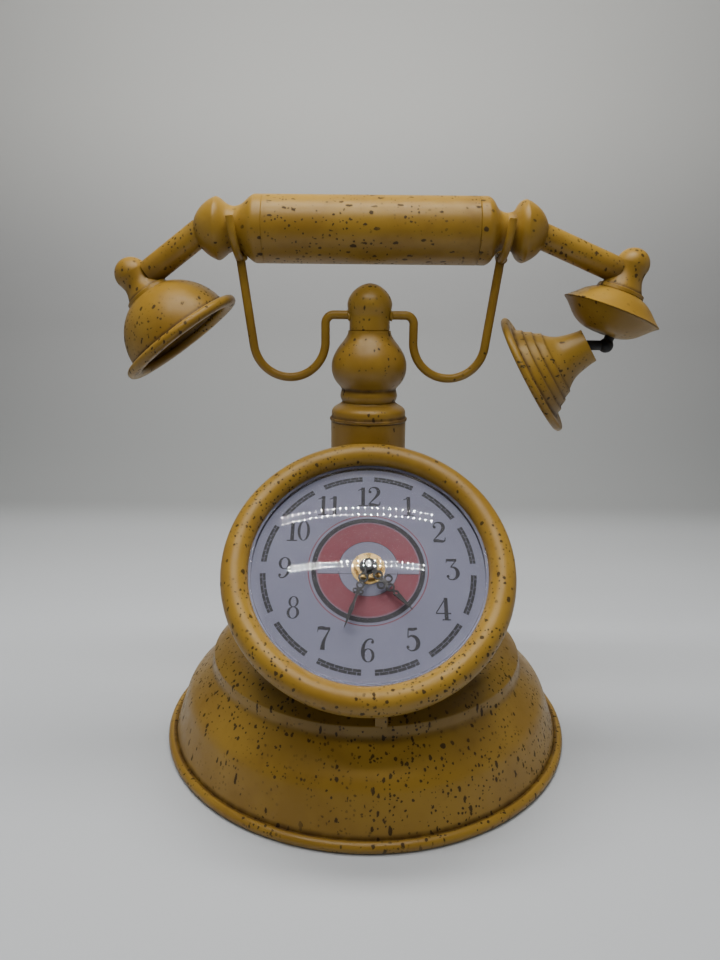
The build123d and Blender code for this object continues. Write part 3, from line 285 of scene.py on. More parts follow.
def skin(name, grid, ring_of_rows=False, dirt_and_shade=None, sharp=28.0):
    """Closed skin over a grid of points in millimetres: columns run round and join, rows join too if asked,
    a row shrunk to one place becomes one point, and the faces are turned so that the volume is positive."""
    rows, columns = grid.shape[:2]
    index = np.arange(rows * columns).reshape(rows, columns)
    pole = np.ptp(grid, axis=1).max(axis=1) < 1e-6
    index[pole] = index[pole][:, :1]
    near = index if ring_of_rows else index[:-1]
    far = np.roll(index, -1, 0) if ring_of_rows else index[1:]
    quads = np.stack([near, np.roll(near, -1, 1), np.roll(far, -1, 1), far], -1).reshape(-1, 4)
    used, quads = np.unique(quads, return_inverse=True)
    quads = quads.reshape(-1, 4)
    points = grid.reshape(-1, 3)[used] * millimetre
    a, b, c, d = (points[quads[:, k]] for k in range(4))
    volume = (a * (np.cross(b, c) + np.cross(c, d))).sum()
    near_pole, far_pole = quads[:, 0] == quads[:, 1], quads[:, 2] == quads[:, 3]
    faces = (
        quads[~near_pole & ~far_pole].tolist()
        + quads[near_pole & ~far_pole][:, [0, 2, 3]].tolist()
        + quads[far_pole & ~near_pole][:, :3].tolist()
    )
    mesh = bpy.data.meshes.new(name)
    mesh.from_pydata(points.tolist(), [], faces)
    if volume < 0:
        mesh.flip_normals()
    mesh.shade_smooth()
    mesh.set_sharp_from_angle(angle=math.radians(sharp))
    dirt_and_shade_amount = np.zeros(rows * columns) if dirt_and_shade is None else np.broadcast_to(dirt_and_shade, (rows, columns)).reshape(-1)
    mesh.attributes.new("dirt_and_shade", "FLOAT", "POINT").data.foreach_set("value", dirt_and_shade_amount[used].astype(np.float32))
    return placed(name, mesh)


def dirtied(dirt_and_shade, grid, places):
    """The dirt and painted shade raised round each (place, reach) in millimetres, falling off from it as a
    bell curve.
    """
    for place, reach in places:
        distance = np.linalg.norm(grid - np.array(place), axis=2)
        dirt_and_shade = np.maximum(dirt_and_shade, np.exp(-((distance / reach) ** 2)))
    return dirt_and_shade


def turned(name, profile, origin, direction, around=176, reach=1.3, near=()):
    """Turned piece: each profile point (radius, distance along the axis) becomes a ring about the axis. Dirt
    and painted shade lie in the profile's hollows and round the given (place, reach) pairs."""
    profile = divided(np.asarray(profile, float))
    direction = unit(direction)
    u = unit(np.cross(direction, (0, 1, 0) if abs(direction[1]) < 0.9 else (1, 0, 0)))
    v = np.cross(direction, u)
    angle = np.linspace(0, 2 * np.pi, around, endpoint=False)[None, :, None]
    radius, height = profile[:, 0][:, None, None], profile[:, 1][:, None, None]
    grid = np.array(origin) + radius * (np.cos(angle) * u + np.sin(angle) * v) + height * direction
    dirt_and_shade = np.repeat(hollows(profile, reach)[:, None], around, 1)
    return skin(name, grid, ring_of_rows=True, dirt_and_shade=dirtied(dirt_and_shade, grid, near))


def node(tree, kind, **inputs):
    """New node of a kind, with its sockets linked to other sockets or set to plain values by name."""
    made = tree.nodes.new("ShaderNode" + kind)
    for key, value in inputs.items():
        socket = made.inputs[int(key[1:])] if key[0] == "_" else made.inputs[key.replace("_", " ")]
        if isinstance(value, bpy.types.NodeSocket):
            tree.links.new(value, socket)
        else:
            socket.default_value = value
    return made


def sums(tree, operation, *values, kind="Math"):
    """Result of one arithmetic step on sockets or numbers, or on vectors if the kind says so."""
    made = node(tree, kind, **{f"_{k}": value for k, value in enumerate(values)})
    made.operation = operation
    return made.outputs[0]


def ramp(tree, value, low, high, to_low=0.0, to_high=1.0):
    """The value stretched smoothly from one range to another."""
    made = node(tree, "MapRange", Value=value, From_Min=low, From_Max=high, To_Min=to_low, To_Max=to_high)
    made.interpolation_type = "SMOOTHSTEP"
    return made.outputs["Result"]


def blended(tree, share, first, second):
    """Colour between two colours or sockets by a share."""
    made = tree.nodes.new("ShaderNodeMix")
    made.data_type = "RGBA"
    tree.links.new(share, made.inputs["Factor"])
    for socket, value in ((made.inputs[6], first), (made.inputs[7], second)):
        if isinstance(value, bpy.types.NodeSocket):
            tree.links.new(value, socket)
        else:
            socket.default_value = (*value, 1)
    return made.outputs[2]


def noise(tree, vector, scale, detail=3.0, roughness=0.55):
    """Soft noise of so many waves to the metre."""
    made = node(tree, "TexNoise", Vector=vector, Scale=scale, Detail=detail, Roughness=roughness)
    return made.outputs["Fac"]


def flecks(tree, vector, scale, size, share):
    """Dots of paint thrown from a brush: one cell in so many (share) holds a dot, and each cell's own random
    number sets how large it is, up to the size given as a part of the cell."""
    cells = node(tree, "TexVoronoi", Vector=vector, Scale=scale)
    random = node(tree, "SeparateColor", Color=cells.outputs["Color"]).outputs[0]
    radius = ramp(tree, random, 1.0 - share, 1.0, 0.0, size)
    inside = sums(tree, "SUBTRACT", radius, cells.outputs["Distance"])
    return ramp(tree, inside, 0.0, 0.25 * size)


def painted(name, stretch=(1, 1, 1), lean=(0, 0, 0), amount=1.0, soft_lines=None):
    """Mustard paint with age: cloudy yellow, a brown wash of dirt and painted shade in the hollows and at
    joints, round and drawn-out dark flecks in clusters, a fine orange peel and, if asked, faint lines from
    the lathe along an axis."""
    made, tree, shader = new_material(name)
    place = node(tree, "TexCoord").outputs["Object"]
    drawn = node(tree, "Mapping", Vector=place, Rotation=lean, Scale=stretch).outputs[0]
    warp = node(tree, "TexNoise", Vector=place, Scale=420.0, Detail=2.0).outputs["Color"]
    shake = sums(tree, "SUBTRACT", warp, (0.5, 0.5, 0.5), kind="VectorMath")
    ragged = sums(tree, "MULTIPLY", shake, (0.0016, 0.0016, 0.0016), kind="VectorMath")
    torn, torn_drawn = (sums(tree, "ADD", way, ragged, kind="VectorMath") for way in (place, drawn))
    clouds = noise(tree, place, 28.0)
    fine = noise(tree, place, 170.0, 5.0, 0.6)
    base = blended(tree, ramp(tree, clouds, 0.35, 0.65), (0.218, 0.122, 0.0145), (0.272, 0.160, 0.0205))
    base = blended(tree, ramp(tree, fine, 0.50, 0.80, 0.0, 0.35), base, (0.165, 0.084, 0.010))
    # The mesh value darkens the paint towards brown in hollows and at joints: dirt with painted shade.
    dirt_and_shade = node(tree, "Attribute")
    dirt_and_shade.attribute_name = "dirt_and_shade"
    dirt_and_shade_amount = ramp(tree, dirt_and_shade.outputs["Fac"], 0.12, 1.0)
    dirt_and_shade_wash = sums(tree, "MULTIPLY", dirt_and_shade_amount, ramp(tree, fine, 0.25, 0.6, 0.35, 0.85))
    base = blended(tree, dirt_and_shade_wash, base, (0.055, 0.026, 0.007))
    crowd = noise(tree, place, 30.0, 2.0)
    many, some = ramp(tree, crowd, 0.40, 0.56), ramp(tree, crowd, 0.30, 0.46, 0.25, 1.0)
    dots = sums(tree, "MULTIPLY", flecks(tree, torn, 640.0, 0.44, 0.80 * amount), many)
    strokes = sums(tree, "MULTIPLY", flecks(tree, torn_drawn, 420.0, 0.40, 0.55 * amount), some)
    blots = flecks(tree, torn, 190.0, 0.26, 0.13 * amount)
    spatter = sums(tree, "MAXIMUM", sums(tree, "MAXIMUM", dots, strokes), blots)
    spatter = sums(tree, "MULTIPLY", spatter, 0.86)
    colour = blended(tree, spatter, base, (0.016, 0.008, 0.003))
    tree.links.new(colour, shader.inputs["Base Color"])
    rough = sums(tree, "ADD", ramp(tree, fine, 0.3, 0.7, 0.34, 0.44), sums(tree, "MULTIPLY", dirt_and_shade_wash, 0.25))
    rough = sums(tree, "ADD", rough, sums(tree, "MULTIPLY", spatter, 0.40))
    tree.links.new(rough, shader.inputs["Roughness"])
    shader.inputs["Specular IOR Level"].default_value = 0.42
    peel = noise(tree, place, 900.0, 2.0)
    height = sums(tree, "ADD", sums(tree, "MULTIPLY", peel, 0.5), sums(tree, "MULTIPLY", spatter, 0.35))
    if soft_lines:
        lines = node(tree, "TexWave", Vector=place, Scale=soft_lines[1], Distortion=0.4)
        lines.bands_direction = soft_lines[0]
        height = sums(tree, "ADD", height, sums(tree, "MULTIPLY", lines.outputs["Fac"], 0.25))
    bumped(tree, shader, height, 0.16, 0.0003)
    return made


def bumped(tree, shader, height, strength, distance):
    """The shader's surface rises and sinks with the height."""
    bump = node(tree, "Bump", Height=height, Strength=strength, Distance=distance)
    tree.links.new(bump.outputs[0], shader.inputs["Normal"])


def fitted(piece, material, body, *nodes, slot="mustard_paint"):
    """The finished piece gets its material, rides on its body and stands for its CAD nodes."""
    piece.data.materials.append(material)
    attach(piece, body)
    if nodes:
        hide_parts(*nodes)
    return piece


def refinished(material, *nodes):
    """CAD nodes that keep the shape they came in get the material."""
    for name in nodes:
        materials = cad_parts[name].data.materials
        materials.clear()
        materials.append(material)


up = (0, 0, 1)
post_y = 23.0
bell_wall = bent(
    [(96.07, 4.05), (89.5, 23.0), (77.0, 36.2), (76.4, 41.6), (70.0, 47.2), (56.0, 50.6), (0, 50.6)],
    [16, 5, 1.2, 12, 14],
)
bell_profile = np.vstack([
    circle_arc(bead_centre, bead_radius, -66.4, 129.6, 24),
    bell_wall,
    inwards(divided(bell_wall), sheet)[::-1],
    circle_arc(bead_centre, bead_radius, 150.0, 246.4, 14),
])
bell_profile[:, 0] = np.maximum(bell_profile[:, 0], 0)
bell_paint = painted("bell_paint", stretch=(1, 1, 0.34), amount=1.0)
# The bell darkens round the foot of the post: dirt and painted shade.
bell = turned("bell", bell_profile, (0, 0, 0), up, around=256, near=[((0, post_y, 50.6), 24.0)])
fitted(bell, bell_paint, "stand", "base_bell")

# ------------------------ post
# A tube stands on the bell, with a turned collar, a hollow vase and a knob stacked on it. A rod through
# all of them pulls them together, and the joints get a dark line of dirt and painted shade.
post_foot, post_radius, post_top = 50.6, 18.9, 152.5
waist_radius, waist_height, vase_top = 13.5, 162.0, 197.0
rod_hole = 3.2


def through(points, start=None, end=None, count=14):
    """Curve with even bend through the points: a cubic between each two, with slopes solved so that the
    curvature carries on from one to the next, and with the directions given at its ends."""
    p = np.array(points, float)
    gap = np.linalg.norm(np.diff(p, axis=0), axis=1)
    last = len(p) - 1
    inner = np.arange(1, last)
    matrix, rhs = np.zeros((last + 1, last + 1)), np.zeros_like(p)
    matrix[inner, inner - 1], matrix[inner, inner + 1] = 1 / gap[:-1], 1 / gap[1:]
    matrix[inner, inner] = 2 / gap[:-1] + 2 / gap[1:]
    rise = np.diff(p, axis=0) / gap[:, None] ** 2
    rhs[inner] = 3 * (rise[:-1] + rise[1:])
    ends = ((0, 1, start, rise[0] * gap[0]), (last, last - 1, end, rise[-1] * gap[-1]))
    for end_row, other, given, slope in ends:
        matrix[end_row, end_row] = 1 if given is not None else 2
        matrix[end_row, other] = 0 if given is not None else 1
        rhs[end_row] = unit(given) if given is not None else 3 * slope
    slope = np.linalg.solve(matrix, rhs)
    s = np.linspace(0, 1, count, endpoint=False)[None, :, None]
    a, b, g = p[:-1, None], p[1:, None], gap[:, None, None]
    curve = (
        (2 * s**3 - 3 * s**2 + 1) * a
        + (s**3 - 2 * s**2 + s) * g * slope[:-1, None]
        + (3 * s**2 - 2 * s**3) * b
        + (s**3 - s**2) * g * slope[1:, None]
    )
    return np.vstack([curve.reshape(-1, p.shape[1]), p[-1:]])


post_paint = painted("post_paint", stretch=(1, 1, 0.5), amount=0.25, soft_lines=("Z", 90.0))
post_axis = (0, post_y, 0)
tube_wall = [(post_radius, post_foot), (post_radius, post_top - 0.25), (post_radius - sheet, post_top - 0.25)]
tube = turned("tube", tube_wall + [(post_radius - sheet, post_foot)], post_axis, up, near=[
    ((0, post_y - post_radius, post_top), 1.5), ((0, post_y, post_foot), 21.5),
])
fitted(tube, post_paint, "stand", "post_tube")

collar_profile = np.vstack([
    [(rod_hole, waist_height), (rod_hole, 146.5), (17.8, 146.5), (17.8, post_top), (18.95, post_top)],
    circle_arc((19.0, post_top + 0.5), 0.5, -90, 0, 6),
    circle_arc((19.0, post_top + 1.1), 0.5, 0, 90, 6),
    through(
        [(18.75, post_top + 1.7), (18.4, post_top + 5.2), (14.9, 160.6), (13.55, 161.8)], (-0.2, 1), (-0.5, 1)
    ),
])
collar = turned("collar", collar_profile, post_axis, up)
fitted(collar, post_paint, "stand", "post_collar")

vase_paint = painted("vase_paint", stretch=(1, 1, 0.6), amount=0.45, soft_lines=("Z", 60.0))
vase_profile = np.vstack([
    [(8.4, vase_top), (8.4, waist_height)],
    through([(13.3, 162.1), (14.3, 165.4), (13.6, 168.2)], (0.6, 1), (-0.2, 1)),
    through(
        [(13.65, 168.3), (16.1, 171.4), (18.6, 181.0), (14.5, 189.8), (11.0, 194.8), (10.5, 196.9)],
        (0.5, 1), (0, 1),
    ),
])
vase = turned("vase_body", vase_profile, post_axis, up)
fitted(vase, vase_paint, "stand", "vase")

cradle_height, knob_neck = 204.3, 9.9
knob_profile = np.vstack([
    [(0, vase_top), (knob_neck - 0.2, vase_top), (knob_neck, vase_top + 0.3)],
    through(
        [(knob_neck, cradle_height - 1.0), (11.0, 209.0), (8.4, 215.2), (2.6, 219.0), (0, 219.5)],
        (0, 1), (-1, 0.12),
    ),
])
knob = turned("knob", knob_profile, post_axis, up, near=[
    ((side * knob_neck, post_y, cradle_height), 3.2) for side in (-1, 1)
])
fitted(knob, vase_paint, "stand", "top_knob")

# ------------------------ cradle
# Two arms bent from round bar are welded to the neck of the knob; each ends in a fork of thinner bar with
# its prongs cut off square. The welds were left as they came and painted over.
rod_radius, fork_rod_radius = 2.15, 1.85
lean = math.radians(7.7)
u_radius, u_x, u_height = 17.8, 39.5, 191.5
handset_height, fork_bend = 243.8, 13.4
leg_foot = (u_x + u_radius * math.cos(lean), u_height - u_radius * math.sin(lean))
fork_bottom = handset_height - fork_bend
fork_x = leg_foot[0] + (fork_bottom - leg_foot[1]) * math.tan(lean)


def swept(name, path, radius, normal, around=28, round_start=0.35, near=()):
    """Bar along a path that lies in a plane with the given normal: a ring stands across each path point, and
    the last rings shrink by a small edge radius to close both ends."""
    path = np.asarray(path, float)
    along = heading(path)
    path = np.vstack([path[:1], path, path[-1:]])
    along = np.vstack([along[:1], along, along[-1:]])
    size = np.full(len(path), float(radius))
    size[0] = size[-1] = 0.0
    size[1] = size[-2] = radius - round_start
    inset_start, inset_end = path[0] + round_start * along[0], path[-1] - round_start * along[-1]
    path = np.vstack([path[:2], inset_start[None], path[2:-2], inset_end[None], path[-2:]])
    along = np.vstack([along[:2], along[:1], along[2:-2], along[-1:], along[-2:]])
    size = np.concatenate([size[:2], [radius], size[2:-2], [radius], size[-2:]])
    side = np.cross(along, unit(normal))
    angle = np.linspace(0, 2 * np.pi, around, endpoint=False)[None, :, None]
    ring = np.cos(angle) * side[:, None] + np.sin(angle) * unit(normal)
    grid = path[:, None] + size[:, None, None] * ring
    return skin(name, grid, dirt_and_shade=dirtied(np.zeros(grid.shape[:2]), grid, near))


def weld(name, centre, radii, seed, body, material):
    """Lump of weld metal: a ball with its radius raised and lowered by a few random waves, then stretched."""
    rng = np.random.default_rng(seed)
    polar = np.linspace(0, np.pi, 20)[:, None, None]
    angle = np.linspace(0, 2 * np.pi, 32, endpoint=False)[None, :, None]
    flat, height = np.sin(polar), np.cos(polar)
    ball = np.concatenate(np.broadcast_arrays(flat * np.cos(angle), flat * np.sin(angle), height), -1)
    waves = rng.normal(size=(6, 3)) * 2.4
    swell = 1 + 0.07 * np.sin(ball @ waves.T + rng.uniform(0, 6, 6)).sum(-1, keepdims=True)
    # Each weld is darkened a little all over: dirt and painted shade.
    lump = skin(name, np.array(centre) + ball * swell * np.array(radii), dirt_and_shade=0.25)
    return fitted(lump, material, body)


rod_paint = painted("rod_paint", amount=0.12)
for side, side_name in ((-1, "left"), (1, "right")):
    arm_path = np.vstack([
        bent([(8.6, cradle_height), (21.7, cradle_height), (21.7, u_height)], [4.2], 12)[:-1],
        circle_arc((u_x, u_height), u_radius, 180, 360 - 7.7, 48),
        divided(np.array([leg_foot, (fork_x, fork_bottom + 0.6)]), 3.0)[1:],
    ])
    arm_points = np.stack([side * arm_path[:, 0], np.full(len(arm_path), post_y), arm_path[:, 1]], 1)
    fork_place = (side * fork_x, post_y, fork_bottom)
    neck_place = (side * knob_neck, post_y, cradle_height)
    arm = swept(f"cradle_{side_name}", arm_points, rod_radius, (0, 1, 0), near=[
        (fork_place, 3.0), (neck_place, 2.6),
    ])
    fitted(arm, rod_paint, "stand", f"cradle_arm_{side_name}")

    out, rise = np.array([side * math.sin(lean), 0, math.cos(lean)]), np.array([0, 1, 0])
    turn = np.radians(np.linspace(180, 360, 36))[:, None]
    fork_middle = np.array([side * (fork_x + fork_bend * math.sin(lean)), post_y, handset_height])
    bow = fork_middle + fork_bend * (np.cos(turn) * rise + np.sin(turn) * out)
    prong, half_prong = 4.6 * out, 2.3 * out
    fork_points = np.vstack([bow[0] + prong, bow[0] + half_prong, bow, bow[-1] + half_prong, bow[-1] + prong])
    across_fork = np.cross(out, rise)
    fork = swept(f"fork_bar_{side_name}", fork_points, fork_rod_radius, across_fork, near=[(fork_place, 3.4)])
    fitted(fork, rod_paint, "stand", f"fork_{side_name}")
    weld_places = {
        "fork": ((side * (fork_x + 0.1), post_y, fork_bottom + 0.4), (2.7, 3.1, 2.3), 4 + side),
        "neck": ((side * (knob_neck + 0.3), post_y, cradle_height), (1.3, 2.9, 2.9), 9 + side),
    }
    for joint, (centre, radii, seed) in weld_places.items():
        weld(f"{joint}_weld_{side_name}", centre, radii, seed, "stand", rod_paint)

# ------------------------ handset grip
# A wide tube between two turned caps and two bulbs with a sharp crease, drawn together by a rod inside.
# The tube's right end gets a dark band of dirt and painted shade at its seam, and the lathe left faint rings
# on the tube, caps and bulbs.
handset_axis = (0, post_y, handset_height)
across = (1, 0, 0)
grip_radius, grip_half, neck_x = 15.7, 50.6, 64.2
grip_lean = (0, math.radians(55), 0)
grip_paint = painted("grip_paint", stretch=(0.5, 1, 1), lean=grip_lean, amount=0.8, soft_lines=("X", 70.0))
grip_profile = [
    (grip_radius - 0.15, -grip_half), (grip_radius, -grip_half + 0.2), (grip_radius, grip_half - 0.35),
    (grip_radius - 0.25, grip_half - 0.1), (grip_radius - 1.0, grip_half - 0.1),
    (grip_radius - 1.0, -grip_half),
]
grip = turned("grip", grip_profile, handset_axis, across, near=[((grip_half, post_y, handset_height), 15.85)])
fitted(grip, grip_paint, "handset", "grip_tube")

bulb_paint = painted("bulb_paint", stretch=(0.6, 1, 1), amount=0.6, soft_lines=("X", 55.0))
for side, side_name, neck in ((-1, "left", 10.2), (1, "right", 8.4)):
    cap_profile = np.vstack([
        [(9.4, grip_half), (grip_radius - 0.3, grip_half), (grip_radius - 0.02, grip_half + 0.3)],
        [(grip_radius, grip_half + 3.0)],
        through([(grip_radius, 54.2), (14.8, 56.6), (neck + 1.3, 60.8), (neck, neck_x)], (0, 1), (-0.25, 1)),
        [(2.6, neck_x), (2.6, 57.6), (9.4, 57.6)],
    ]) * (1, side)
    cap = turned(f"cap_{side_name}", cap_profile, handset_axis, across, reach=0.9)
    fitted(cap, bulb_paint, "handset", f"grip_cap_{side_name}")
    bulb_profile = np.vstack([
        through([(neck, neck_x), (neck + 0.65, 67.4), (13.1, 70.4), (14.5, 73.0)], (0.05, 1), (0.2, 1)),
        through([(14.5, 73.05), (11.5, 78.6), (4.0, 84.0), (0, 84.6)], (-0.3, 1), (-1, 0)),
        [(0, neck_x)],
    ]) * (1, side)
    bulb = turned(f"bulb_body_{side_name}", bulb_profile, handset_axis, across, near=[
        ((side * 81.0, post_y, handset_height - 1.4), 8.2 if side < 0 else 7.6),
    ])
    fitted(bulb, bulb_paint, "handset", f"bulb_{side_name}")

# ------------------------ earpiece
# A dome pressed from sheet with its edge rolled round thick, and a ball on a flared collar screwed to its
# back. A short tube ties the ball to the left bulb, welded at both ends.
ear_rim, ear_way = (-91.0, post_y, 190.7), unit((-0.610, 0, 0.792))
ear_sphere, ear_base = 27.2, 3.0
cup_paint = painted("cup_paint", stretch=(1, 1, 0.45), lean=(0, math.radians(-38), 0), amount=1.0)
cup_profile = np.vstack([
    circle_arc((0, ear_base), ear_sphere, 90, 5, 60),
    [(27.4, 4.85)],
    circle_arc((30.2, 2.5), 2.3, 90, -90, 18),
    circle_arc((27.9, 2.5), 2.3, 270, 130, 14),
    circle_arc((0, ear_base), ear_sphere - sheet, 4, 90, 50),
])
cup = turned("ear_cup", cup_profile, ear_rim, ear_way, around=200, near=[
    (np.array(ear_rim) + ear_way * (ear_base + ear_sphere), 13.0),
])
fitted(cup, cup_paint, "handset", "earpiece_dome")


def elbow_profile(foot_level, foot_radius, ball_level, ball_radius):
    """Foot ring, flared collar and half ball, from the foot up to the top of the ball."""
    return np.vstack([
        [(0, foot_level), (foot_radius - 0.3, foot_level), (foot_radius, foot_level + 0.4)],
        [(foot_radius - 0.2, foot_level + 1.9), (foot_radius - 0.5, foot_level + 2.2)],
        through(
            [(foot_radius - 1.4, foot_level + 2.4), (0.93 * ball_radius, ball_level - 0.55 * ball_radius),
             (ball_radius, ball_level)],
            (-0.5, 1), (0.2, 1),
        ),
        circle_arc((0, ball_level), ball_radius, 1, 90, 22),
    ])


joint_paint = painted("joint_paint", stretch=(1, 1, 0.6), amount=0.9)
ear_joint = turned("ear_joint", elbow_profile(27.2, 11.4, 40.0, 8.2), ear_rim, ear_way, around=96, near=[
    ((-107.0, post_y, 223.2), 6.0),
])
fitted(ear_joint, joint_paint, "handset", "ear_elbow")


def straight_tube(name, start, end, radius, wall):
    """Open tube between two points."""
    start, end = np.array(start, float), np.array(end, float)
    length = np.linalg.norm(end - start)
    profile = [(radius, 0), (radius, length), (radius - wall, length), (radius - wall, 0)]
    return turned(name, profile, start, end - start, around=72, near=[(start, 7.5), (end, 8.5)])


arm_left = straight_tube("arm_left", (-81.0, post_y, 242.5), (-107.4, post_y, 222.8), 6.3, 1.0)
fitted(arm_left, joint_paint, "handset", "arm_tube_left")

# ------------------------ mouthpiece
# Two shallow pressed shells make a lens-shaped pod below a second ball. Under it a short black stub holds
# the horn, a turned flare with ring steps and a thick rolled mouth.
pod_middle, pod_way = (118.1, post_y, 206.7), unit((0.35, 0, 0.937))
pod_paint = painted("pod_paint", stretch=(1, 1, 0.7), amount=0.5)
for up_sign, rim, shell_name, shell_node in (
    (1, 24.0, "pod_top", "pod_upper"),
    (-1, 23.5, "pod_bottom", "pod_lower"),
):
    shell_profile = np.vstack([
        [(rim - sheet, 0), (rim - 0.15, 0)],
        through([(rim, 0.25), (15.84, 7.2), (7.2, 10.6), (0, 10.6)], (-0.6, 0.4), (-1, 0), 18),
        through([(0, 9.7), (7.2, 9.7), (15.39, 6.3), (rim - sheet, 0.05)], (1, 0), (0.6, -0.4), 18),
    ]) * (1, up_sign)
    shell = turned(shell_name, shell_profile, pod_middle, pod_way, around=160, near=[
        (np.array(pod_middle) + pod_way * 10.6 * up_sign, 13.2 if up_sign > 0 else 7.0),
    ])
    fitted(shell, pod_paint, "handset", shell_node)
mouth_profile = elbow_profile(9.4, 11.6, 23.9, 8.0)
mouth_joint = turned("mouth_joint", mouth_profile, pod_middle, pod_way, around=96, near=[
    ((119.0, post_y, 226.8), 6.0),
])
fitted(mouth_joint, joint_paint, "handset", "mouth_elbow")
arm_right = straight_tube("arm_right", (78.4, post_y, 243.4), (119.6, post_y, 226.4), 6.15, 1.0)
fitted(arm_right, joint_paint, "handset", "arm_tube_right")

horn_start, horn_way = (108.75, post_y, 190.85), unit((-0.83, 0.24, -0.50))
horn_paint = painted("horn_paint", stretch=(0.6, 1, 1), lean=(0, math.radians(30), 0), amount=0.9)
horn_steps = [(16.4, 17.6), (18.3, 21.2), (19.4, 21.5), (21.3, 25.0), (22.4, 25.3), (24.2, 28.9)]
horn_profile = np.vstack([
    [(0, 0), (8.3, 0)],
    through([(8.65, 0.3), (9.65, 6.5), (11.95, 13.2), (15.45, 17.4)], (0.05, 1), (0.8, 0.8)),
    bent([(15.6, 17.5), *horn_steps, (25.2, 29.2)], [0.4] * 6, 5),
    circle_arc((30.2, 30.6), 1.8, 90, -90, 16)[::-1],
    circle_arc((24.6, 30.6), 1.8, 90, 215, 12),
    [(21.4, 29.2), (15.4, 18.9), (10.75, 14.0), (7.35, 7.2), (7.15, 1.4), (0, 1.4)],
])
horn = turned("horn_body", horn_profile, horn_start, horn_way, around=200, near=[(horn_start, 6.0)])
fitted(horn, horn_paint, "handset", "horn")

# ------------------------ clock case
# A pressed bezel and a pressed back ring, rolled together at their widest place; the bezel's inner edge
# turns down on the glass. It is spot-welded to the post behind and to a tab on the bell below.
dial_tilt = math.radians(46.0)
dial_centre = np.array([0, -44.0, 97.3])
dial_out = np.array([0, -math.cos(dial_tilt), math.sin(dial_tilt)])
dial_up = np.array([0, math.sin(dial_tilt), math.cos(dial_tilt)])
case_radius, opening_radius, case_depth, lip_level = 62.5, 51.8, 10.5, 2.0


def arc_by(first, middle, last, count=36):
    """Arc through three points of a plane, about the point where their perpendicular bisectors cross."""
    a, b, c = (np.array(p, float) for p in (first, middle, last))
    centre = np.linalg.solve(2 * np.array([b - a, c - b]), [b @ b - a @ a, c @ c - b @ b])
    angle = [math.atan2(*(p - centre)[::-1]) for p in (a, b, c)]
    unrolled = np.unwrap(angle)
    return circle_arc(centre, np.linalg.norm(a - centre), *np.degrees(unrolled[[0, 2]]), count)


case_paint = painted("case_paint", stretch=(1, 1, 0.8), amount=1.0)
bezel_profile = np.vstack([
    arc_by((case_radius, 0), (56.55, 8.8), (opening_radius, lip_level), 64),
    arc_by((opening_radius + sheet, lip_level), (56.55, 7.9), (case_radius - sheet, 0), 48),
])
bezel = turned("case_front", bezel_profile, dial_centre, dial_out, around=256)
fitted(bezel, case_paint, "stand", "bezel")
ring_profile = np.vstack([
    arc_by((case_radius, 0), (59.6, -7.14), (52.5, -case_depth), 32),
    arc_by((52.5, sheet - case_depth), (58.88, -6.6), (case_radius - sheet, 0), 28),
])
back_ring = turned("case_back", ring_profile, dial_centre, dial_out, around=256)
fitted(back_ring, case_paint, "stand", "case_ring")

# ------------------------ dial print
# The dial is a round of pale lavender paper, printed with serif numerals, a broken minute track, a dark
# ring and a red band that a plain white bar crosses.
ink_lift = 0.03


def dial_point(x, y, level):
    """Place on the dial: across, up and towards the viewer from its centre."""
    x, y, level = np.broadcast_arrays(x, y, level)
    flat = x[..., None] * np.array([1.0, 0, 0]) + y[..., None] * dial_up
    return dial_centre + flat + level[..., None] * dial_out


def ink(name, patches, level, material):
    """Flat print made of patches, each a grid of (across, up) places, all facing the viewer."""
    points, faces, first = [], [], 0
    for patch in patches:
        rows, columns = patch.shape[:2]
        index = first + np.arange(rows * columns).reshape(rows, columns)
        points.append(dial_point(patch[..., 0], patch[..., 1], level).reshape(-1, 3))
        quads = np.stack([index[:-1, :-1], index[:-1, 1:], index[1:, 1:], index[1:, :-1]], -1).reshape(-1, 4)
        corner = patch.reshape(-1, 2)[quads - first]
        (ax, ay), (bx, by) = (corner[:, 2] - corner[:, 0]).T, (corner[:, 3] - corner[:, 1]).T
        area = (ax * by - ay * bx).sum()
        faces.append(quads if area > 0 else quads[:, ::-1])
        first += rows * columns
    mesh = bpy.data.meshes.new(name)
    mesh.from_pydata((np.vstack(points) * millimetre).tolist(), [], np.vstack(faces).tolist())
    return fitted(placed(name, mesh), material, "stand", slot="dial_print")


def ring_patch(inner, outer, start, end, count):
    """Part of a ring between two radii and two angles in degrees."""
    angle = np.radians(np.linspace(start, end, count))
    return np.stack([np.outer([inner, outer], np.cos(angle)), np.outer([inner, outer], np.sin(angle))], -1)


def printed(name, colour, worn_colour, worn=0.35, rough=0.6):
    """Ink or paper: its colour with fine mottling, and paler spots where the print didn't take."""
    made, tree, shader = new_material(name)
    place = node(tree, "TexCoord").outputs["Object"]
    mottled = ramp(tree, noise(tree, place, 900.0, 4.0, 0.7), 0.35, 0.75, 0.0, worn)
    cloudy = blended(tree, ramp(tree, noise(tree, place, 60.0), 0.3, 0.7, 0.0, 0.25), colour, worn_colour)
    tree.links.new(blended(tree, mottled, cloudy, worn_colour), shader.inputs["Base Color"])
    roughness = ramp(tree, noise(tree, place, 300.0), 0.3, 0.7, rough - 0.05, rough + 0.08)
    tree.links.new(roughness, shader.inputs["Roughness"])
    shader.inputs["Specular IOR Level"].default_value = 0.3
    bumped(tree, shader, noise(tree, place, 1600.0), 0.08, 0.0001)
    return made


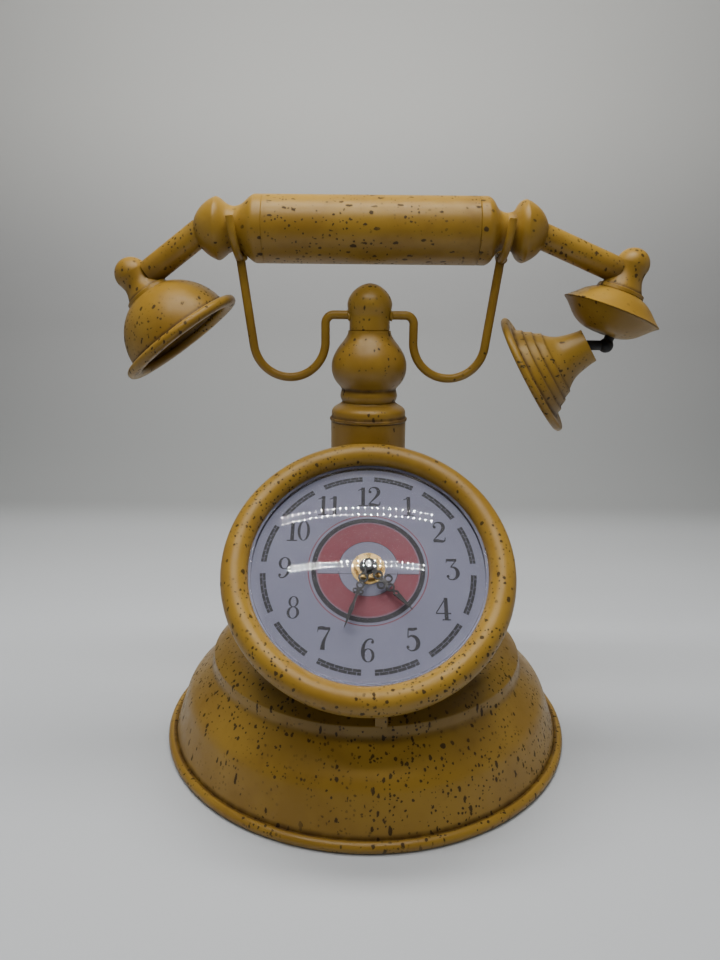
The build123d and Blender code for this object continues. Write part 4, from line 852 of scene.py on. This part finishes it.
paper = printed("dial_card", (0.118, 0.122, 0.166), (0.104, 0.104, 0.146), 0.2)
refinished(paper, "dial_paper")
grey_ink = printed("grey_ink", (0.013, 0.013, 0.015), (0.034, 0.033, 0.038), 0.6)
numeral_ink = printed("numeral_ink", (0.013, 0.0125, 0.015), (0.034, 0.033, 0.038), 0.6)
red_ink = printed("red_ink", (0.120, 0.027, 0.035), (0.128, 0.050, 0.064), 0.5)
dial_face = 0.7
ink_level = dial_face + ink_lift
track_inner, track_outer, track_gap = 44.2, 46.7, 3.3
row_top, row_bottom, block_gap = 45.38, 45.50, 0.12
track = []
for hour in range(12):
    first_edge, last_edge = 30 * hour + track_gap, 30 * hour + 30 - track_gap
    for low, high, half_step in ((track_inner, row_top, False), (row_bottom, track_outer, True)):
        edges = np.linspace(first_edge, last_edge, 6)
        if half_step:
            edges = np.concatenate([[first_edge], (edges[:-1] + edges[1:]) / 2, [last_edge]])
        for start, end in zip(edges, edges[1:]):
            track.append(ring_patch(low, high, start + block_gap, end - block_gap, 8))
ink("minute_track", track, ink_level, grey_ink)
ink("grey_ring", [ring_patch(22.5, 24.6, 0, 360, 181)], ink_level, grey_ink)
pink_rings = [ring_patch(inner, outer, 0, 360, 181) for inner, outer in ((25.7, 26.15), (22.0, 22.3))]
ink("pink_line", pink_rings, ink_level, red_ink)
bar_half, band_inner, band_outer = 2.4, 13.0, 21.9
band = []
for flip in (1, -1):
    radius = np.linspace(band_inner, band_outer, 12)[:, None]
    dip = np.arcsin((bar_half + 0.25) / radius)
    angle = dip + (np.pi - 2 * dip) * np.linspace(0, 1, 60)[None, :]
    band.append(np.stack([radius * np.cos(angle), flip * radius * np.sin(angle)], -1))
ink("red_band", band, ink_level, red_ink)
line_end, line_width = 22.3, 0.22
bar_lines = [
    np.array([[(x, y), (x, y + line_width)] for x in (-line_end, line_end)], float)
    for y in (bar_half, -bar_half - line_width)
]
bar_lines += [ring_patch(12.75, 12.98, start, start + 166, 80) for start in (7, 187)]
ink("bar_lines", bar_lines, dial_face + ink_lift * 2, grey_ink)

# Numerals: pen strokes given as (across, up, half width) in thousandths of the body, and rings and balls.
strokes = {
    "0": [("ring", 500, 500, 290, 490, 155, 455)],
    "1": [("pen", (520, 20, 66), (520, 970, 66)), ("pen", (500, 955, 30), (380, 850, 20), (270, 820, 16)),
          ("pen", (280, 22, 22), (760, 22, 22))],
    "2": [("ball", 305, 740, 72), ("pen", (245, 750, 20), (310, 910, 20), (470, 975, 26), (660, 900, 56),
          (715, 740, 68), (620, 520, 50), (400, 270, 26), (250, 100, 22)), ("pen", (235, 55, 50),
          (420, 75, 62), (600, 45, 50), (740, 70, 30), (785, 240, 14))],
    "3": [("pen", (255, 920, 45), (720, 925, 50)), ("pen", (265, 950, 18), (245, 800, 14)), ("pen",
          (700, 915, 20), (440, 600, 18)), ("pen", (430, 595, 20), (580, 585, 34), (730, 430, 64),
          (720, 200, 62), (570, 45, 30), (400, 30, 20), (270, 130, 20)), ("ball", 300, 170, 66)],
    "4": [("pen", (630, 970, 20), (190, 315, 20)), ("pen", (180, 295, 22), (840, 295, 22)), ("pen",
          (630, 980, 64), (630, 30, 64)), ("pen", (450, 22, 22), (810, 22, 22))],
    "5": [("pen", (325, 925, 45), (500, 905, 50), (710, 945, 35)), ("pen", (330, 930, 20), (310, 555, 18)),
          ("pen", (310, 560, 18), (440, 630, 30), (620, 580, 54), (735, 400, 68), (700, 170, 60),
          (550, 40, 30), (400, 30, 20), (270, 130, 20)), ("ball", 300, 170, 66)],
    "6": [("ring", 500, 290, 275, 285, 145, 245), ("pen", (290, 260, 64), (275, 480, 60), (360, 790, 42),
          (510, 940, 26), (660, 950, 20), (735, 860, 20)), ("ball", 690, 830, 62)],
    "7": [("pen", (235, 910, 50), (420, 930, 58), (600, 900, 50), (765, 920, 40)), ("pen", (250, 960, 20),
          (225, 760, 14)), ("pen", (755, 910, 24), (600, 600, 34), (490, 320, 58), (455, 20, 78))],
    "8": [("ring", 500, 745, 225, 245, 125, 210), ("ring", 500, 270, 275, 265, 150, 230)],
}
strokes["9"] = [
    (kind, *[(1000 - x, 1000 - y, w) for x, y, w in rest]) if kind == "pen"
    else (kind, 1000 - rest[0], 1000 - rest[1], *rest[2:])
    for kind, *rest in strokes["6"]
]
pen_weight = 1.3


def stroke_patch(kind, *values):
    """One stroke as a grid: a pen line is its centre line moved to both sides by its half width times the
    pen's weight, a ring lies between two ellipses, and a ball is a ring with hardly any hole."""
    values = np.array(values) / 1000
    if kind == "pen":
        line = through(values, count=8) if len(values) > 2 else values
        offset = pen_weight * leftwards(line[:, :2]) * line[:, 2:]
        return np.stack([line[:, :2] - offset, line[:, :2] + offset])
    if kind == "ball":
        x, y, radius = values
        values = (x, y, radius, radius, 0.001, 0.001)
    x, y, wide, tall, hole_wide, hole_tall = values
    angle = np.linspace(0, 2 * np.pi, 49)
    inner = np.stack([x + hole_wide * np.cos(angle), y + hole_tall * np.sin(angle)], 1)
    outer = np.stack([x + wide * np.cos(angle), y + tall * np.sin(angle)], 1)
    return np.stack([inner, outer])


numeral_height, numeral_radius, numeral_width, numeral_step = 10.2, 36.2, 0.94, 5.2
for hour in range(1, 13):
    text = str(hour)
    angle = math.radians(90 - 30 * hour)
    middle = numeral_radius * np.array([math.cos(angle), math.sin(angle)])
    patches = []
    for place, digit in enumerate(text):
        shift = (place - (len(text) - 1) / 2) * numeral_step
        for stroke in strokes[digit]:
            patch = (stroke_patch(*stroke) - 0.5) * numeral_height * np.array([numeral_width, 1.0])
            patches.append(patch + (middle + (shift, 0)))
    ink(f"numeral_{hour}", patches, ink_level, numeral_ink)

# ------------------------ glass
# The glass is a shallow dome moulded in clear plastic, with a straight skirt and a flange under the bezel.
# Faint smears roughen it, and it lets the lamps' light through to the dial unbent.
lens_radius, lens_rise, lens_wall, skirt_level, flange_radius = 51.55, 6.0, 1.2, 4.2, 53.4
dome_radius = (lens_radius**2 + lens_rise**2) / (2 * lens_rise)
dome_low = skirt_level + lens_rise - dome_radius
outer_angle = math.degrees(math.asin(lens_radius / dome_radius))
inner_radius = lens_radius - lens_wall
inner_angle = math.degrees(math.asin(inner_radius / (dome_radius - lens_wall)))
flange_edge, flange_low, flange_high = flange_radius - 0.1, dial_face + 0.02, lip_level - 0.02
glass_profile = np.vstack([
    [(inner_radius, flange_low), (flange_edge, flange_low), (flange_edge, flange_high)],
    [(lens_radius, flange_high), (lens_radius, skirt_level - 0.3)],
    circle_arc((0, dome_low), dome_radius, 90 - outer_angle + 0.25, 90, 60),
    circle_arc((0, dome_low), dome_radius - lens_wall, 90, 90 - inner_angle, 60),
])
glass = turned("glass", glass_profile, dial_centre, dial_out, around=192)
glass_material, glass_tree, glass_shader = new_material("clear_plastic")
glass_shader.inputs["Transmission Weight"].default_value = 1.0
glass_shader.inputs["IOR"].default_value = 1.46
glass_shader.inputs["Base Color"].default_value = (0.95, 0.95, 0.97, 1)
glass_place = node(glass_tree, "TexCoord").outputs["Object"]
smears = ramp(glass_tree, noise(glass_tree, glass_place, 45.0, 6.0, 0.7), 0.50, 0.85, 0.025, 0.06)
glass_tree.links.new(smears, glass_shader.inputs["Roughness"])
see_through = node(glass_tree, "BsdfTransparent")
ray = node(glass_tree, "LightPath").outputs["Is Shadow Ray"]
glass_mix = glass_tree.nodes.new("ShaderNodeMixShader")
glass_tree.links.new(ray, glass_mix.inputs[0])
glass_tree.links.new(glass_shader.outputs[0], glass_mix.inputs[1])
glass_tree.links.new(see_through.outputs[0], glass_mix.inputs[2])
glass_tree.links.new(glass_mix.outputs[0], glass_tree.nodes["Material Output"].inputs["Surface"])
fitted(glass, glass_material, "stand", "lens", slot="clear_lens")

# ------------------------ movement and small parts
# What the pack gives in its final shape keeps it and gets its own finish: stamped brass, black hands, the
# moulded case of the movement with its wheels, coil and board, the battery, and plated screws and nuts.


def plain_finish(name, colour, shade, rough, metal=0.0, grain=400.0, bump_strength=0.1, stretch=(1, 1, 1)):
    """Solid finish: two near shades mixed by soft noise, roughness that wanders, and a fine grain."""
    made, tree, shader = new_material(name)
    place = node(tree, "Mapping", Vector=node(tree, "TexCoord").outputs["Object"], Scale=stretch).outputs[0]
    mixed = blended(tree, ramp(tree, noise(tree, place, 150.0, 5.0), 0.35, 0.7), colour, shade)
    tree.links.new(mixed, shader.inputs["Base Color"])
    roughness = ramp(tree, noise(tree, place, 260.0), 0.3, 0.7, rough, rough + 0.12)
    tree.links.new(roughness, shader.inputs["Roughness"])
    shader.inputs["Metallic"].default_value = metal
    bumped(tree, shader, noise(tree, place, grain, 3.0), bump_strength, 0.0002)
    return made


black_enamel = plain_finish("black_enamel", (0.004, 0.004, 0.004), (0.008, 0.0075, 0.0075), 0.5)
refinished(black_enamel, "minute_hand", "hour_hand", "horn_stub")
refinished(post_paint, "case_tab", "case_bracket")
for nodes, *finish in (
    (("brass_washer", "brass_nut", "contact_plus", "contact_minus"),
     "stamped_brass", (0.78, 0.55, 0.22), (0.66, 0.42, 0.15), 0.22, 1.0),
    (("movement_back", "movement_front"),
     "black_moulding", (0.016, 0.016, 0.018), (0.026, 0.026, 0.028), 0.42, 0.0, 1500.0, 0.25),
    (("setting_knob", "movement_pad"),
     "grey_moulding", (0.035, 0.035, 0.038), (0.055, 0.055, 0.058), 0.5, 0.0, 1200.0, 0.25),
    (("hour_wheel", "motion_wheel", "third_wheel", "fourth_wheel", "fifth_wheel", "centre_wheel",
      "train_plate"), "white_nylon", (0.74, 0.73, 0.69), (0.66, 0.65, 0.60), 0.36),
    (("tie_rod", "tie_nut", "tie_washer", "minute_arbor", "ear_screw", "handset_rod", "rotor", "stator"),
     "bright_steel", (0.55, 0.55, 0.56), (0.38, 0.37, 0.36), 0.3, 1.0, 700.0, 0.15),
    (("dial_plate",),
     "plate_steel", (0.46, 0.46, 0.47), (0.34, 0.34, 0.35), 0.38, 1.0, 300.0, 0.2, (0.2, 1, 1)),
    (("circuit_board",), "green_laminate", (0.02, 0.16, 0.06), (0.015, 0.11, 0.045), 0.35),
    (("coil",), "enamelled_wire", (0.55, 0.22, 0.09), (0.40, 0.14, 0.05), 0.3, 1.0, 2500.0, 0.5, (6, 1, 1)),
    (("battery",), "battery_skin", (0.03, 0.05, 0.10), (0.05, 0.07, 0.13), 0.25),
):
    refinished(plain_finish(*finish), *nodes)

# ------------------------ sizes and end
low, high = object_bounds()
